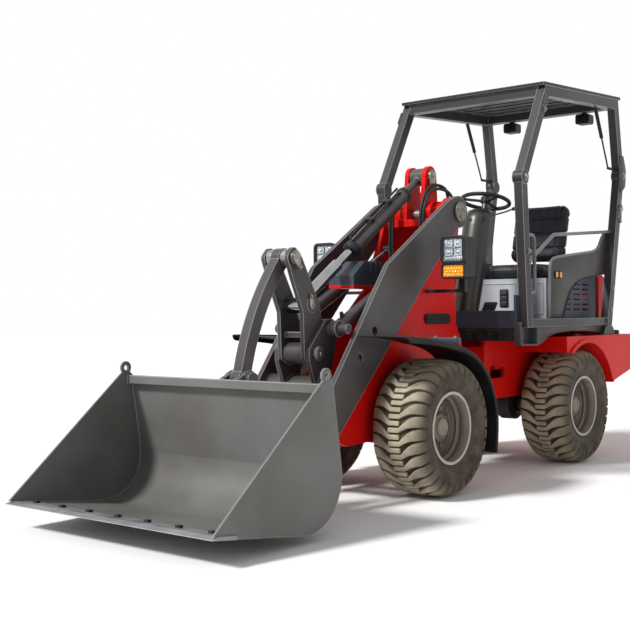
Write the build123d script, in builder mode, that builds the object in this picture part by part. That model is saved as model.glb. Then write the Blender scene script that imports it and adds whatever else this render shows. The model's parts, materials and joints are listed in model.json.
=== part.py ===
from build123d import *
import os
from math import cos, hypot, radians, sin

# Compact articulated loader. Millimetres, +X forward, +Y to the operator's left, +Z up.
# Stations (x) are counted forward from the articulation hinge, heights (z) from the ground.

# Overall reach of the machine each way from the hinge
BUCKET_REACH = 2960
TAIL_REACH = 1650
HINGE_X = (TAIL_REACH - BUCKET_REACH) / 2
TAIL_DEPTH = 90
REAR_PLATE = -TAIL_REACH + TAIL_DEPTH

# Running gaps
RUN_GAP = 0.3
SIDE_GAP = 4
SPIN_GAP = 0.5

# Wheels and axles
AXLE_REACH = 873
TYRE_RADIUS = 393.5
TYRE_WIDTH = 350
LUG_HEIGHT = 22
LUG_COUNT = 18
WHEEL_Y = 435
RIM_RADIUS = 200
RIM_WALL = 8
HUB_RADIUS = 78
HUB_FACE_Y = 440
AXLE_TUBE_RADIUS = 62
AXLE_Z = TYRE_RADIUS
AXLE_PAD_TOP = AXLE_Z + 76.5

# Frames: side plates of the front and rear halves
FRAME_Y = 225
FRAME_PLATE = 25
FRAME_IN = FRAME_Y - FRAME_PLATE
HINGE_PIN_RADIUS = 35
HINGE_LUG_RADIUS = 85
HINGE_LUG = 30
UPPER_LUG_Z = 780
LOWER_LUG_Z = 420

# Boom: two arms outside the tower, and its pivots (station, height)
ARM_IN = 255
ARM_PLATE = 30
ARM_OUT = ARM_IN + ARM_PLATE
BOOM_PIVOT = (300, 1680)
BOOM_PIN_RADIUS = 36
TOWER_PIN = (300, 1920)
LEVER_PIVOT = (1535, 832)
ROD_EYE = (1539, 1098)
LINK_TOP = (1686, 1351)
LINK_FOOT = (2011, 709)
BUCKET_PIVOT = (1883, 291)
LIFT_FOOT = (420, 1455)
LIFT_HEAD = (1420, 965)
TORQUE_TUBE = (1470, 640)
TORQUE_TUBE_RADIUS = 70
PIN_RADIUS = 28
LIFT_Y = 170

# Lever, link and hitch plates
LEVER_IN = 70
LEVER_PLATE = 25
LEVER_OUT = LEVER_IN + LEVER_PLATE
BRACKET_PLATE = 25
LINK_HALF = 30
LINK_WIDTH = 76
LINK_BOW = 48
HITCH_LUG = 25
SLEEVE_RADIUS = 62
SPACER_RADIUS = 50

# Bucket (tipped back a few degrees on its heel)
BUCKET_HALF = 700
BUCKET_WALL = 10
LIP = (BUCKET_REACH, 128)
HEEL = (2334, 44)
BACK_ARC_CENTRE = (2325, 298)
BACK_ARC_RADIUS = 254
BACK_TOP = (2135, 720)
EAR = (2186, 762)
EAR_RADIUS = 36
EAR_HOLE_RADIUS = 14
EDGE_LAP = 9
EDGE_HALF = BUCKET_HALF + EDGE_LAP
EDGE_DEPTH = 150
EDGE_PLATE = 16

# Operator's station
FLOOR_Z = 990
FLOOR_PLATE = 40
FLOOR_HALF = 500
FLOOR_FRONT = -30
FLOOR_REAR = REAR_PLATE + 160
POST_WIDTH = 60
POST_DEPTH = 70
POST_OUT = FLOOR_HALF + POST_WIDTH
DECK_Z = 880
ROOF_PLATE = 22

# Hydraulic cylinders: barrel and rod radii
LIFT_BARREL_RADIUS = 38
LIFT_ROD_RADIUS = 22
TILT_BARREL_RADIUS = 46
TILT_ROD_RADIUS = 25
STEER_BARREL_RADIUS = 26
STEER_ROD_RADIUS = 16
STEER_FOOT = (-330, 110)
STEER_HEAD = (180, 110)
STEER_Z = 625

REAR_FACE = -HINGE_LUG_RADIUS - 20

SIDES = (1, -1)

os.makedirs("parts", exist_ok=True)


def at(x, z):
    """A point of a side view: a station ahead of the hinge and a height."""
    return (HINGE_X + x, z)


def side(y):
    """The side-view plane at a given y; extrusions from it run towards -Y."""
    return Plane.XZ.offset(-y)


def spread(sign, inner, outer):
    """The low and high y of a layer between two distances on one side."""
    return sorted((sign * inner, sign * outer))


def plate(outline, low, high, mode=Mode.ADD, corner=0):
    """A flat plate with a side-view outline, from y low to y high."""
    with BuildSketch(side(high)) as face:
        with BuildLine():
            Polyline(*[at(*p) for p in outline], close=True)
        make_face()
        if corner:
            fillet(face.vertices(), corner)
    extrude(face.sketch, amount=high - low, mode=mode)


def shaft(centre, radius, low, high, mode=Mode.ADD):
    """A round bar or hole across the machine."""
    with BuildSketch(side(high)) as face:
        with Locations(at(*centre)):
            Circle(radius)
    extrude(face.sketch, amount=high - low, mode=mode)


def strip(path, width, low, high, mode=Mode.ADD, bend=0):
    """A bar of even width that follows a side-view path, its corners bent or sharp."""
    with BuildSketch(side(high)) as face:
        with BuildLine() as line:
            if bend:
                FilletPolyline(*[at(*p) for p in path], radius=bend)
            else:
                Polyline(*[at(*p) for p in path])
        trace(line.line, line_width=width)
    extrude(face.sketch, amount=high - low, mode=mode)


def block(x, y, z, mode=Mode.ADD, corner=0):
    """A box between pairs of stations, y values and heights."""
    with BuildSketch(Plane.XY.offset(z[0])) as face:
        with Locations((HINGE_X + (x[0] + x[1]) / 2, (y[0] + y[1]) / 2)):
            if corner:
                RectangleRounded(x[1] - x[0], y[1] - y[0], corner)
            else:
                Rectangle(x[1] - x[0], y[1] - y[0])
    extrude(face.sketch, amount=z[1] - z[0], mode=mode)


def post(x, y, radius, low, high, mode=Mode.ADD):
    """An upright round bar or hole."""
    with BuildSketch(Plane.XY.offset(low)) as face:
        with Locations((HINGE_X + x, y)):
            Circle(radius)
    extrude(face.sketch, amount=high - low, mode=mode)


def bar(start, end, radius, mode=Mode.ADD):
    """A round bar between two points in space (station, y, height)."""
    foot = Vector(HINGE_X + start[0], start[1], start[2])
    head = Vector(HINGE_X + end[0], end[1], end[2])
    with BuildSketch(Plane(origin=foot, z_dir=head - foot)) as face:
        Circle(radius)
    extrude(face.sketch, amount=(head - foot).length, mode=mode)


def pod(x, y, z, corner, mode=Mode.ADD):
    """A box between stations, y values and heights, its corners rounded in the front view."""
    with BuildSketch(Plane.YZ.offset(HINGE_X + x[0])) as face:
        with Locations(((y[0] + y[1]) / 2, (z[0] + z[1]) / 2)):
            RectangleRounded(y[1] - y[0], z[1] - z[0], corner)
    extrude(face.sketch, amount=x[1] - x[0], mode=mode)


def tube(points, bend, radius):
    """A bent round tube through points in space (station, y, height)."""
    with BuildLine() as route:
        FilletPolyline(*[(HINGE_X + x, y, z) for x, y, z in points], radius=bend)
    with BuildSketch(Plane(origin=route.line @ 0, z_dir=route.line % 0)) as section:
        Circle(radius)
    sweep(section.sketch, path=route.line)


def along(start, end, distance):
    """The side-view point a given distance from start towards end."""
    length = hypot(end[0] - start[0], end[1] - start[1])
    share = distance / length
    return (start[0] + (end[0] - start[0]) * share, start[1] + (end[1] - start[1]) * share)


def write(piece, name):
    """Label a finished piece and write its STEP file."""
    piece.part.label = name
    export_step(piece.part, f"parts/{name}.step")


# Wheels: tyre and rim at each corner
WHEELS = (
    # name, station, side
    ("front_left", AXLE_REACH, 1),
    ("front_right", AXLE_REACH, -1),
    ("rear_left", -AXLE_REACH, 1),
    ("rear_right", -AXLE_REACH, -1),
)
TYRE_SKIN = (
    # radius, distance from the wheel's middle plane: outer skin from bead to crown
    (RIM_RADIUS, 126),
    (RIM_RADIUS + 40, 150),
    (TYRE_RADIUS - 108, 166),
    (TYRE_RADIUS - 63, 168),
    (TYRE_RADIUS - 37, 150),
    (TYRE_RADIUS - LUG_HEIGHT, 96),
)
TYRE_LINING = (
    # radius, distance from the middle plane: inner skin from crown to bead
    (TYRE_RADIUS - LUG_HEIGHT - 24, 80),
    (TYRE_RADIUS - LUG_HEIGHT - 31, 128),
    (TYRE_RADIUS - LUG_HEIGHT - 47, 143),
    (TYRE_RADIUS - 108, 143),
    (RIM_RADIUS + 36, 126),
    (RIM_RADIUS, 104),
)
TREAD_BAR = (
    # distance round the tread, distance from the middle plane
    (-56, -8),
    (-4, -8),
    (40, 75),
    (56, 162),
    (4, 162),
    (-12, 75),
)
LUG_FOOT = TYRE_RADIUS - LUG_HEIGHT - 20


def lug_plane(angle):
    """The plane that a tread bar rises from, square to the wheel's radius at an angle."""
    out = (cos(radians(angle)), sin(radians(angle)), 0)
    return Plane(origin=(LUG_FOOT * out[0], LUG_FOOT * out[1], 0), x_dir=(-out[1], out[0], 0), z_dir=out)


with BuildPart() as tread:
    for flip in SIDES:
        first = -90 if flip > 0 else -90 + 180 / LUG_COUNT
        with BuildSketch(*[lug_plane(first + 360 / LUG_COUNT * n) for n in range(LUG_COUNT)]) as bars:
            with BuildLine():
                Polyline(*[(x, flip * y) for x, y in TREAD_BAR], close=True)
            make_face()
        extrude(bars.sketch, amount=2 * LUG_HEIGHT)
    Cylinder(TYRE_RADIUS, TYRE_WIDTH, mode=Mode.INTERSECT)

with BuildPart() as tyre_form:
    with BuildSketch(Plane.XZ) as section:
        with BuildLine():
            mirrored = [(r, -y) for r, y in reversed(TYRE_SKIN)]
            lining = [(r, -y) for r, y in TYRE_LINING]
            Polyline(*TYRE_SKIN, *mirrored, *reversed(lining), *TYRE_LINING, close=True)
        make_face()
    revolve(section.sketch, axis=Axis.Z)
    add(tread.part)

RIM_SECTION = (
    # radius, distance outwards from the wheel disc's inner face
    (0, 0),
    (RIM_RADIUS - RIM_WALL, 0),
    (RIM_RADIUS - RIM_WALL, -146),
    (RIM_RADIUS + 8, -146),
    (RIM_RADIUS + 8, -138),
    (RIM_RADIUS, -138),
    (RIM_RADIUS, 127),
    (RIM_RADIUS + 8, 127),
    (RIM_RADIUS + 8, 135),
    (RIM_RADIUS - RIM_WALL, 135),
    (RIM_RADIUS - RIM_WALL, 62),
    (RIM_RADIUS - 22, 54),
    (RIM_RADIUS - 22, 38),
    (RIM_RADIUS - 34, 14),
    (HUB_RADIUS + 18, 14),
    (HUB_RADIUS + 4, 40),
    (HUB_RADIUS, 58),
    (HUB_RADIUS - 18, 66),
    (0, 66),
)
for name, station, sign in WHEELS:
    with BuildPart() as tyre:
        add(tyre_form.part.moved(Location((HINGE_X + station, sign * WHEEL_Y, AXLE_Z), (90, 0, 0))))
    write(tyre, f"tyre_{name}")

    disc_y = HUB_FACE_Y + SPIN_GAP
    with BuildPart() as rim:
        with BuildSketch(Plane.YZ.offset(HINGE_X + station)) as section:
            with BuildLine():
                Polyline(*[(sign * (disc_y + y), AXLE_Z + r) for r, y in RIM_SECTION], close=True)
            make_face()
        revolve(section.sketch, axis=Axis((HINGE_X + station, 0, AXLE_Z), (0, 1, 0)))
    write(rim, f"rim_{name}")

# Axles: tapered housing with a differential bulge and frame pads
for name, station in (("front", AXLE_REACH), ("rear", -AXLE_REACH)):
    centre = (station, AXLE_Z)
    with BuildPart() as axle:
        shaft(centre, AXLE_TUBE_RADIUS, -HUB_FACE_Y + 60, HUB_FACE_Y - 60)
        shaft(centre, 120, -80, 80)
        chamfer(axle.edges().filter_by(GeomType.CIRCLE).filter_by(lambda e: e.radius == 120), 30)
        for sign in SIDES:
            shaft(centre, HUB_RADIUS + 10, *spread(sign, WHEEL_Y - 130, HUB_FACE_Y))
            block((station - 75, station + 75), spread(sign, FRAME_IN - 30, FRAME_Y), (AXLE_Z, AXLE_PAD_TOP))
    write(axle, f"{name}_axle")

# Front frame: side plates with the boom tower, hinge lugs and cable ears
TOWER_OUTLINE = (
    (180, 330),
    (180, 860),
    (250, 980),
    (250, 1400),
    (205, 1600),
    (205, 1700),
    (395, 1700),
    (470, 1500),
    (620, 1210),
    (980, 900),
    (1320, 600),
    (1500, 360),
    (1410, 318),
    (AXLE_REACH + 135, 330),
    (AXLE_REACH + 135, AXLE_PAD_TOP),
    (AXLE_REACH - 135, AXLE_PAD_TOP),
    (AXLE_REACH - 135, 330),
)
EAR_PLATE = 28
EAR_OUT = LINK_HALF + SIDE_GAP + 44
CROSS_TUBE_RADIUS = 75
with BuildPart() as front_frame:
    for sign in SIDES:
        plate(TOWER_OUTLINE, *spread(sign, FRAME_IN, FRAME_Y))
        shaft(BOOM_PIVOT, 95, *spread(sign, FRAME_IN, ARM_IN - SIDE_GAP))
        ear = spread(sign, EAR_OUT - EAR_PLATE, EAR_OUT)
        shaft(BOOM_PIVOT, CROSS_TUBE_RADIUS, *spread(sign, EAR_OUT, FRAME_IN))
        ear_top = TOWER_PIN[1]
        plate(((215, 1640), (235, ear_top), (365, ear_top), (395, 1640)), *ear)
        shaft(TOWER_PIN, 66, *ear)
    block((205, 395), (-FRAME_IN, FRAME_IN), (1600, 1645))
    block((250, 270), (-FRAME_IN, FRAME_IN), (450, 1600))
    block((180, AXLE_REACH - 135), (-FRAME_IN, FRAME_IN), (330, 350))
    block((1380, 1410), (-FRAME_IN, FRAME_IN), (330, 420))
    block((270, 1150), (-90, 90), (1195, 1213))
    for low in (UPPER_LUG_Z, LOWER_LUG_Z):
        block((0, 200), (-HINGE_LUG_RADIUS, HINGE_LUG_RADIUS), (low, low + HINGE_LUG))
        post(0, 0, HINGE_LUG_RADIUS, low, low + HINGE_LUG)
        post(0, 0, HINGE_PIN_RADIUS, low, low + HINGE_LUG, Mode.SUBTRACT)
        block((180, 270), (-FRAME_IN, FRAME_IN), (low, low + HINGE_LUG))
    for low in (STEER_Z - 66, STEER_Z + 38):
        block((STEER_HEAD[0] - 40, 250), (STEER_HEAD[1] - 40, FRAME_IN), (low, low + 28))
    shaft(BOOM_PIVOT, BOOM_PIN_RADIUS, -ARM_OUT, ARM_OUT, Mode.SUBTRACT)
    shaft(TOWER_PIN, PIN_RADIUS, -ARM_OUT, ARM_OUT, Mode.SUBTRACT)
write(front_frame, "front_frame")

# Pins fixed in the front frame: hinge pins, boom shaft and tower pin
with BuildPart() as hinge_pins:
    for low, high in ((UPPER_LUG_Z - 50, UPPER_LUG_Z + HINGE_LUG), (LOWER_LUG_Z, LOWER_LUG_Z + 80)):
        post(0, 0, HINGE_PIN_RADIUS, low, high)
    post(0, 0, HINGE_PIN_RADIUS + 15, UPPER_LUG_Z + HINGE_LUG, UPPER_LUG_Z + HINGE_LUG + 12)
    post(0, 0, HINGE_PIN_RADIUS + 15, LOWER_LUG_Z - 12, LOWER_LUG_Z)
write(hinge_pins, "hinge_pins")

with BuildPart() as boom_shaft:
    shaft(BOOM_PIVOT, BOOM_PIN_RADIUS, -ARM_OUT - SIDE_GAP, ARM_OUT + SIDE_GAP)
    for sign in SIDES:
        shaft(BOOM_PIVOT, 62, *spread(sign, ARM_OUT + SIDE_GAP, ARM_OUT + SIDE_GAP + 12))
write(boom_shaft, "boom_shaft")

with BuildPart() as tower_pin:
    shaft(TOWER_PIN, PIN_RADIUS, -EAR_OUT, EAR_OUT)
    for sign in SIDES:
        shaft(TOWER_PIN, PIN_RADIUS + 14, *spread(sign, EAR_OUT, EAR_OUT + 10))
write(tower_pin, "tower_pin")

# Boom: two arm plates joined by the torque tube, with brackets for the lever
ARM_OUTLINE = (
    (235, 1650),
    (300, 1785),
    (421, 1742),
    (1080, 1328),
    (1690, 544),
    (1935, 350),
    (1935, 230),
    (1850, 212),
    (1544, 401),
    (640, 1285),
)
BRACKET_OUTLINE = (
    (1440, 560),
    (1350, 960),
    (1385, 1020),
    (1455, 1020),
    (1600, 860),
    (1600, 790),
    (1530, 600),
)
with BuildPart() as boom:
    for sign in SIDES:
        plate(ARM_OUTLINE, *spread(sign, ARM_IN, ARM_OUT), corner=40)
        bracket = spread(sign, LEVER_OUT + SIDE_GAP, LEVER_OUT + SIDE_GAP + BRACKET_PLATE)
        plate(BRACKET_OUTLINE, *bracket, corner=25)
        shaft(BOOM_PIVOT, 100, *spread(sign, ARM_IN, ARM_OUT))
        shaft(BUCKET_PIVOT, 78, *spread(sign, ARM_IN, ARM_OUT))
        for hole, radius in (((1216, 948), 28), ((1358, 805), 25)):
            shaft(hole, radius, *spread(sign, ARM_IN, ARM_OUT), Mode.SUBTRACT)
    shaft(TORQUE_TUBE, TORQUE_TUBE_RADIUS, -ARM_IN, ARM_IN)
    shaft(BOOM_PIVOT, BOOM_PIN_RADIUS + RUN_GAP, -ARM_OUT, ARM_OUT, Mode.SUBTRACT)
    shaft(BUCKET_PIVOT, PIN_RADIUS + RUN_GAP, -ARM_OUT, ARM_OUT, Mode.SUBTRACT)
    shaft(LEVER_PIVOT, PIN_RADIUS + RUN_GAP, -200, 200, Mode.SUBTRACT)
    for sign in SIDES:
        pin = spread(sign, LEVER_OUT + SIDE_GAP, ARM_IN)
        shaft(LIFT_HEAD, PIN_RADIUS, *pin)
write(boom, "boom")

# Pins that float in the boom: the bucket's pins on their sleeve, and the lever's pin with its boss
with BuildPart() as bucket_pins:
    sleeve_half = ARM_IN - 2 * SIDE_GAP - HITCH_LUG
    pin_end = ARM_OUT + SIDE_GAP + HITCH_LUG + SIDE_GAP
    shaft(BUCKET_PIVOT, SLEEVE_RADIUS, -sleeve_half, sleeve_half)
    shaft(BUCKET_PIVOT, PIN_RADIUS, -pin_end, pin_end)
    for sign in SIDES:
        shaft(BUCKET_PIVOT, PIN_RADIUS + 12, *spread(sign, pin_end, pin_end + 10))
write(bucket_pins, "bucket_pins")

with BuildPart() as lever_pin:
    boss_half = LEVER_IN - SIDE_GAP / 2
    pin_end = LEVER_OUT + SIDE_GAP + BRACKET_PLATE + SIDE_GAP
    shaft(LEVER_PIVOT, SLEEVE_RADIUS, -boss_half, boss_half)
    shaft(LEVER_PIVOT, PIN_RADIUS, -pin_end, pin_end)
    for sign in SIDES:
        shaft(LEVER_PIVOT, PIN_RADIUS + 12, *spread(sign, pin_end, pin_end + 10))
write(lever_pin, "lever_pin")

# Lever: twin plates joined by a web above the pivot
LEVER_OUTLINE = (
    (1462, 800),
    (1448, 980),
    (1478, 1110),
    (1622, 1356),
    (1690, 1420),
    (1748, 1356),
    (1700, 1240),
    (1616, 1060),
    (1606, 800),
    (1535, 758),
)
LEVER_WEB_X = (LEVER_PIVOT[0] - 50, LEVER_PIVOT[0] + 40)
LEVER_WEB_Z = (LEVER_PIVOT[1] + 88, LEVER_PIVOT[1] + 118)
with BuildPart() as lever:
    for sign in SIDES:
        plate(LEVER_OUTLINE, *spread(sign, LEVER_IN, LEVER_OUT), corner=30)
        shaft(ROD_EYE, 42, *spread(sign, LEVER_OUT - 1, LEVER_OUT + SIDE_GAP / 2))
    block(LEVER_WEB_X, (-LEVER_IN, LEVER_IN), LEVER_WEB_Z)
    shaft(LEVER_PIVOT, PIN_RADIUS + RUN_GAP, -LEVER_OUT, LEVER_OUT, Mode.SUBTRACT)
    shaft(LINK_TOP, PIN_RADIUS + RUN_GAP, -LEVER_OUT, LEVER_OUT, Mode.SUBTRACT)
write(lever, "lever")

with BuildPart() as link_pin:
    pin_end = LEVER_OUT + SIDE_GAP
    shaft(LINK_TOP, PIN_RADIUS, -pin_end, pin_end)
    for sign in SIDES:
        shaft(LINK_TOP, SPACER_RADIUS, *spread(sign, LINK_HALF + SIDE_GAP, LEVER_IN - SIDE_GAP))
        shaft(LINK_TOP, PIN_RADIUS + 12, *spread(sign, pin_end, pin_end + 10))
write(link_pin, "link_pin")

# Link: a bowed bar from the lever's top to the hitch
LINK_LENGTH = hypot(LINK_FOOT[0] - LINK_TOP[0], LINK_FOOT[1] - LINK_TOP[1])
link_middle = along(LINK_TOP, LINK_FOOT, LINK_LENGTH / 2)
link_out = (
    (LINK_TOP[1] - LINK_FOOT[1]) / LINK_LENGTH * LINK_BOW,
    (LINK_FOOT[0] - LINK_TOP[0]) / LINK_LENGTH * LINK_BOW,
)
link_crown = (link_middle[0] + link_out[0], link_middle[1] + link_out[1])
with BuildPart() as link:
    with BuildSketch(side(LINK_HALF)) as bowed:
        with BuildLine() as spine:
            ThreePointArc(at(*LINK_TOP), at(*link_crown), at(*LINK_FOOT))
        trace(spine.line, line_width=LINK_WIDTH)
        with Locations(at(*LINK_TOP), at(*LINK_FOOT)):
            Circle(54)
    extrude(amount=2 * LINK_HALF)
    shaft(LINK_TOP, PIN_RADIUS + RUN_GAP, -LEVER_IN, LEVER_IN, Mode.SUBTRACT)
    shaft(LINK_FOOT, PIN_RADIUS + 6, -LINK_HALF - SIDE_GAP, LINK_HALF + SIDE_GAP)
write(link, "link")

# Bucket: rolled shell between two side plates, with an ear at each top corner
BUCKET_BACK = (BACK_ARC_CENTRE[0] - BACK_ARC_RADIUS, BACK_ARC_CENTRE[1])


def bucket_profile(grow):
    """The shell's outer line, open at the mouth, moved inwards by grow."""
    arc_mid = (
        BACK_ARC_CENTRE[0] - (BACK_ARC_RADIUS - grow) * 0.7071,
        BACK_ARC_CENTRE[1] - (BACK_ARC_RADIUS - grow) * 0.7071,
    )
    Line(at(LIP[0], LIP[1] + grow), at(HEEL[0], HEEL[1] + grow))
    ThreePointArc(at(HEEL[0], HEEL[1] + grow), at(*arc_mid), at(BUCKET_BACK[0] + grow, BUCKET_BACK[1]))
    Line(at(BUCKET_BACK[0] + grow, BUCKET_BACK[1]), at(BACK_TOP[0] + grow, BACK_TOP[1]))


def bucket_form(half, mode=Mode.ADD):
    """The bucket's whole outer form, filled, out to a half width."""
    with BuildSketch(side(half)) as walls:
        with BuildLine():
            bucket_profile(0)
            Line(at(*BACK_TOP), at(*EAR))
            Line(at(*EAR), at(*LIP))
        make_face()
        with Locations(at(*EAR)):
            Circle(EAR_RADIUS)
    extrude(walls.sketch, amount=2 * half, mode=mode)


def floor_z(x):
    """Height of the bucket floor's underside at a station."""
    return HEEL[1] + (x - HEEL[0]) * (LIP[1] - HEEL[1]) / (LIP[0] - HEEL[0])


EDGE_BACK = LIP[0] - EDGE_DEPTH
EDGE_BEVEL = 45
TOP_BAR = 42
SKID_FRONT = EDGE_BACK - 30
SKID_PLATE = 14
SKID_IN = BUCKET_HALF * 0.55
SKID_WIDTH = 60
with BuildPart() as bucket:
    bucket_form(BUCKET_HALF)
    inner = BUCKET_HALF - BUCKET_WALL
    with BuildSketch(side(inner)) as hollow:
        with BuildLine():
            bucket_profile(BUCKET_WALL)
            Polyline(
                at(BACK_TOP[0] + BUCKET_WALL, BACK_TOP[1]),
                at(BACK_TOP[0] + BUCKET_WALL, EAR[1] + EAR_RADIUS),
                at(LIP[0] + EDGE_DEPTH, EAR[1] + EAR_RADIUS),
                at(LIP[0] + EDGE_DEPTH, LIP[1] + BUCKET_WALL),
                at(LIP[0], LIP[1] + BUCKET_WALL),
            )
        make_face()
    extrude(hollow.sketch, amount=2 * inner, mode=Mode.SUBTRACT)
    above_back = (BACK_TOP[1], EAR[1] + EAR_RADIUS)
    block((BUCKET_BACK[0], BACK_TOP[0] + BUCKET_WALL), (-inner, inner), above_back, Mode.SUBTRACT)
    shaft(EAR, EAR_HOLE_RADIUS, -BUCKET_HALF, BUCKET_HALF, Mode.SUBTRACT)
    edge_seat = (
        (EDGE_BACK, floor_z(EDGE_BACK) - EDGE_PLATE),
        (LIP[0] + EDGE_PLATE, LIP[1] - EDGE_PLATE),
        (LIP[0] + EDGE_PLATE, floor_z(LIP[0] + EDGE_PLATE) + EDGE_PLATE),
        (EDGE_BACK, floor_z(EDGE_BACK) + EDGE_PLATE),
    )
    plate(edge_seat, -BUCKET_HALF, BUCKET_HALF, Mode.SUBTRACT)
    bar_z = (BACK_TOP[1] - TOP_BAR, BACK_TOP[1])
    block((BACK_TOP[0], BACK_TOP[0] + TOP_BAR), (-inner, inner), bar_z)
    for sign in SIDES:
        skid = ((SKID_FRONT, floor_z(SKID_FRONT)), HEEL, (HEEL[0], HEEL[1] - SKID_PLATE))
        skid = (*skid, (SKID_FRONT, floor_z(SKID_FRONT) - SKID_PLATE))
        plate(skid, *spread(sign, SKID_IN, SKID_IN + SKID_WIDTH))
write(bucket, "bucket")

with BuildPart() as cutting_edge:
    edge_outline = (
        LIP,
        (LIP[0] - EDGE_BEVEL, floor_z(LIP[0] - EDGE_BEVEL) + EDGE_PLATE),
        (EDGE_BACK, floor_z(EDGE_BACK) + EDGE_PLATE),
        (EDGE_BACK, floor_z(EDGE_BACK)),
    )
    plate(edge_outline, -EDGE_HALF, EDGE_HALF)
write(cutting_edge, "cutting_edge")

# Hitch: lugs each side of the arm tips and of the link's foot, on one cross tube
HITCH_TUBE = (2010, 400)
HITCH_TUBE_RADIUS = 45
HITCH_FRONT = 2200
with BuildPart() as hitch:
    shaft(HITCH_TUBE, HITCH_TUBE_RADIUS, -ARM_OUT - SIDE_GAP - HITCH_LUG, ARM_OUT + SIDE_GAP + HITCH_LUG)
    lug_layers = (
        (ARM_IN - SIDE_GAP - HITCH_LUG, ARM_IN - SIDE_GAP),
        (ARM_OUT + SIDE_GAP, ARM_OUT + SIDE_GAP + HITCH_LUG),
    )
    for sign in SIDES:
        for layer in lug_layers:
            low, high = spread(sign, *layer)
            foot = ((1883, 216), (HITCH_FRONT, 150), (HITCH_FRONT, 470), (1990, 470), (1883, 366))
            plate(foot, low, high)
            shaft(BUCKET_PIVOT, 75, low, high)
            shaft(BUCKET_PIVOT, PIN_RADIUS + RUN_GAP, low, high, Mode.SUBTRACT)
        low, high = spread(sign, LINK_HALF + 2 * SIDE_GAP, LINK_HALF + 2 * SIDE_GAP + HITCH_LUG)
        plate(((1965, 400), (HITCH_FRONT, 400), (HITCH_FRONT, 680), (2060, 740), (1958, 709)), low, high)
        shaft(LINK_FOOT, 52, low, high)
        shaft(LINK_FOOT, PIN_RADIUS + 14, *spread(sign, LINK_HALF + 2 * SIDE_GAP + HITCH_LUG, 85))
    bucket_form(BUCKET_HALF, Mode.SUBTRACT)
write(hitch, "hitch")

# Lift cylinders: barrels on the boom, rods reaching back to the tower
LIFT_LENGTH = hypot(LIFT_FOOT[0] - LIFT_HEAD[0], LIFT_FOOT[1] - LIFT_HEAD[1])
LIFT_STROKE = 310
LIFT_BARREL = LIFT_LENGTH - LIFT_STROKE - 60
EYE_HALF = 24
with BuildPart() as lift_barrels:
    for y in (LIFT_Y, -LIFT_Y):
        foot = along(LIFT_HEAD, LIFT_FOOT, 30)
        gland = along(LIFT_HEAD, LIFT_FOOT, LIFT_BARREL)
        bar((foot[0], y, foot[1]), (gland[0], y, gland[1]), LIFT_BARREL_RADIUS)
        shaft(LIFT_HEAD, 46, y - EYE_HALF, y + EYE_HALF)
        shaft(LIFT_HEAD, PIN_RADIUS + RUN_GAP, y - 60, y + 60, Mode.SUBTRACT)
        well = along(LIFT_HEAD, LIFT_FOOT, 90)
        bar((well[0], y, well[1]), (LIFT_FOOT[0], y, LIFT_FOOT[1]), LIFT_ROD_RADIUS + RUN_GAP, Mode.SUBTRACT)
write(lift_barrels, "lift_barrels")

with BuildPart() as lift_rods:
    for y in (LIFT_Y, -LIFT_Y):
        inside = along(LIFT_HEAD, LIFT_FOOT, 100)
        neck = along(LIFT_HEAD, LIFT_FOOT, LIFT_LENGTH - 20)
        bar((inside[0], y, inside[1]), (neck[0], y, neck[1]), LIFT_ROD_RADIUS)
        shaft(LIFT_FOOT, 42, y - EYE_HALF, y + EYE_HALF)
        low, high = sorted((y - EYE_HALF * y / LIFT_Y, y / LIFT_Y * (FRAME_IN - SIDE_GAP)))
        shaft(LIFT_FOOT, PIN_RADIUS, low, high)
write(lift_rods, "lift_rods")

# Tilt cylinder: a slim neck and a thick barrel on the tower, its rod down to the lever
TILT_LENGTH = hypot(ROD_EYE[0] - TOWER_PIN[0], ROD_EYE[1] - TOWER_PIN[1])
TILT_NECK = 225
TILT_GLAND = 910
TILT_SLEEVE = 1065
with BuildPart() as tilt_barrel:
    eye_half = LINK_HALF + 16
    points = [along(TOWER_PIN, ROD_EYE, d) for d in (30, TILT_NECK, TILT_GLAND)]
    top, shoulder, gland = [(x, 0, z) for x, z in points]
    bar(top, gland, 27)
    bar(shoulder, gland, TILT_BARREL_RADIUS)
    shaft(TOWER_PIN, 56, -eye_half, eye_half)
    shaft(TOWER_PIN, PIN_RADIUS + RUN_GAP, -eye_half, eye_half, Mode.SUBTRACT)
    well = along(TOWER_PIN, ROD_EYE, TILT_NECK + 40)
    bar((well[0], 0, well[1]), gland, TILT_ROD_RADIUS + RUN_GAP, Mode.SUBTRACT)
write(tilt_barrel, "tilt_barrel")

with BuildPart() as tilt_rod:
    inside = along(TOWER_PIN, ROD_EYE, TILT_NECK + 180)
    sleeve = along(TOWER_PIN, ROD_EYE, TILT_SLEEVE)
    end = along(TOWER_PIN, ROD_EYE, TILT_LENGTH - 15)
    bar((inside[0], 0, inside[1]), (end[0], 0, end[1]), TILT_ROD_RADIUS)
    bar((sleeve[0], 0, sleeve[1]), (end[0], 0, end[1]), TILT_ROD_RADIUS + 10)
    shaft(ROD_EYE, 46, -LEVER_IN + SIDE_GAP, LEVER_IN - SIDE_GAP)
write(tilt_rod, "tilt_rod")

# Steering cylinder, lying between the frame halves
STEER_BARREL = 290
with BuildPart() as steer_barrel:
    foot_y = STEER_FOOT[1]
    gland = (STEER_FOOT[0] + STEER_BARREL, foot_y, STEER_Z)
    bar((STEER_FOOT[0] + 20, foot_y, STEER_Z), gland, STEER_BARREL_RADIUS)
    post(*STEER_FOOT, 32, STEER_Z - 34, STEER_Z + 34)
    post(*STEER_FOOT, 16 + RUN_GAP, STEER_Z - 34, STEER_Z + 34, Mode.SUBTRACT)
    well = (STEER_FOOT[0] + 50, foot_y, STEER_Z)
    bar(well, (STEER_HEAD[0], foot_y, STEER_Z), STEER_ROD_RADIUS + RUN_GAP, Mode.SUBTRACT)
write(steer_barrel, "steer_barrel")

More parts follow.
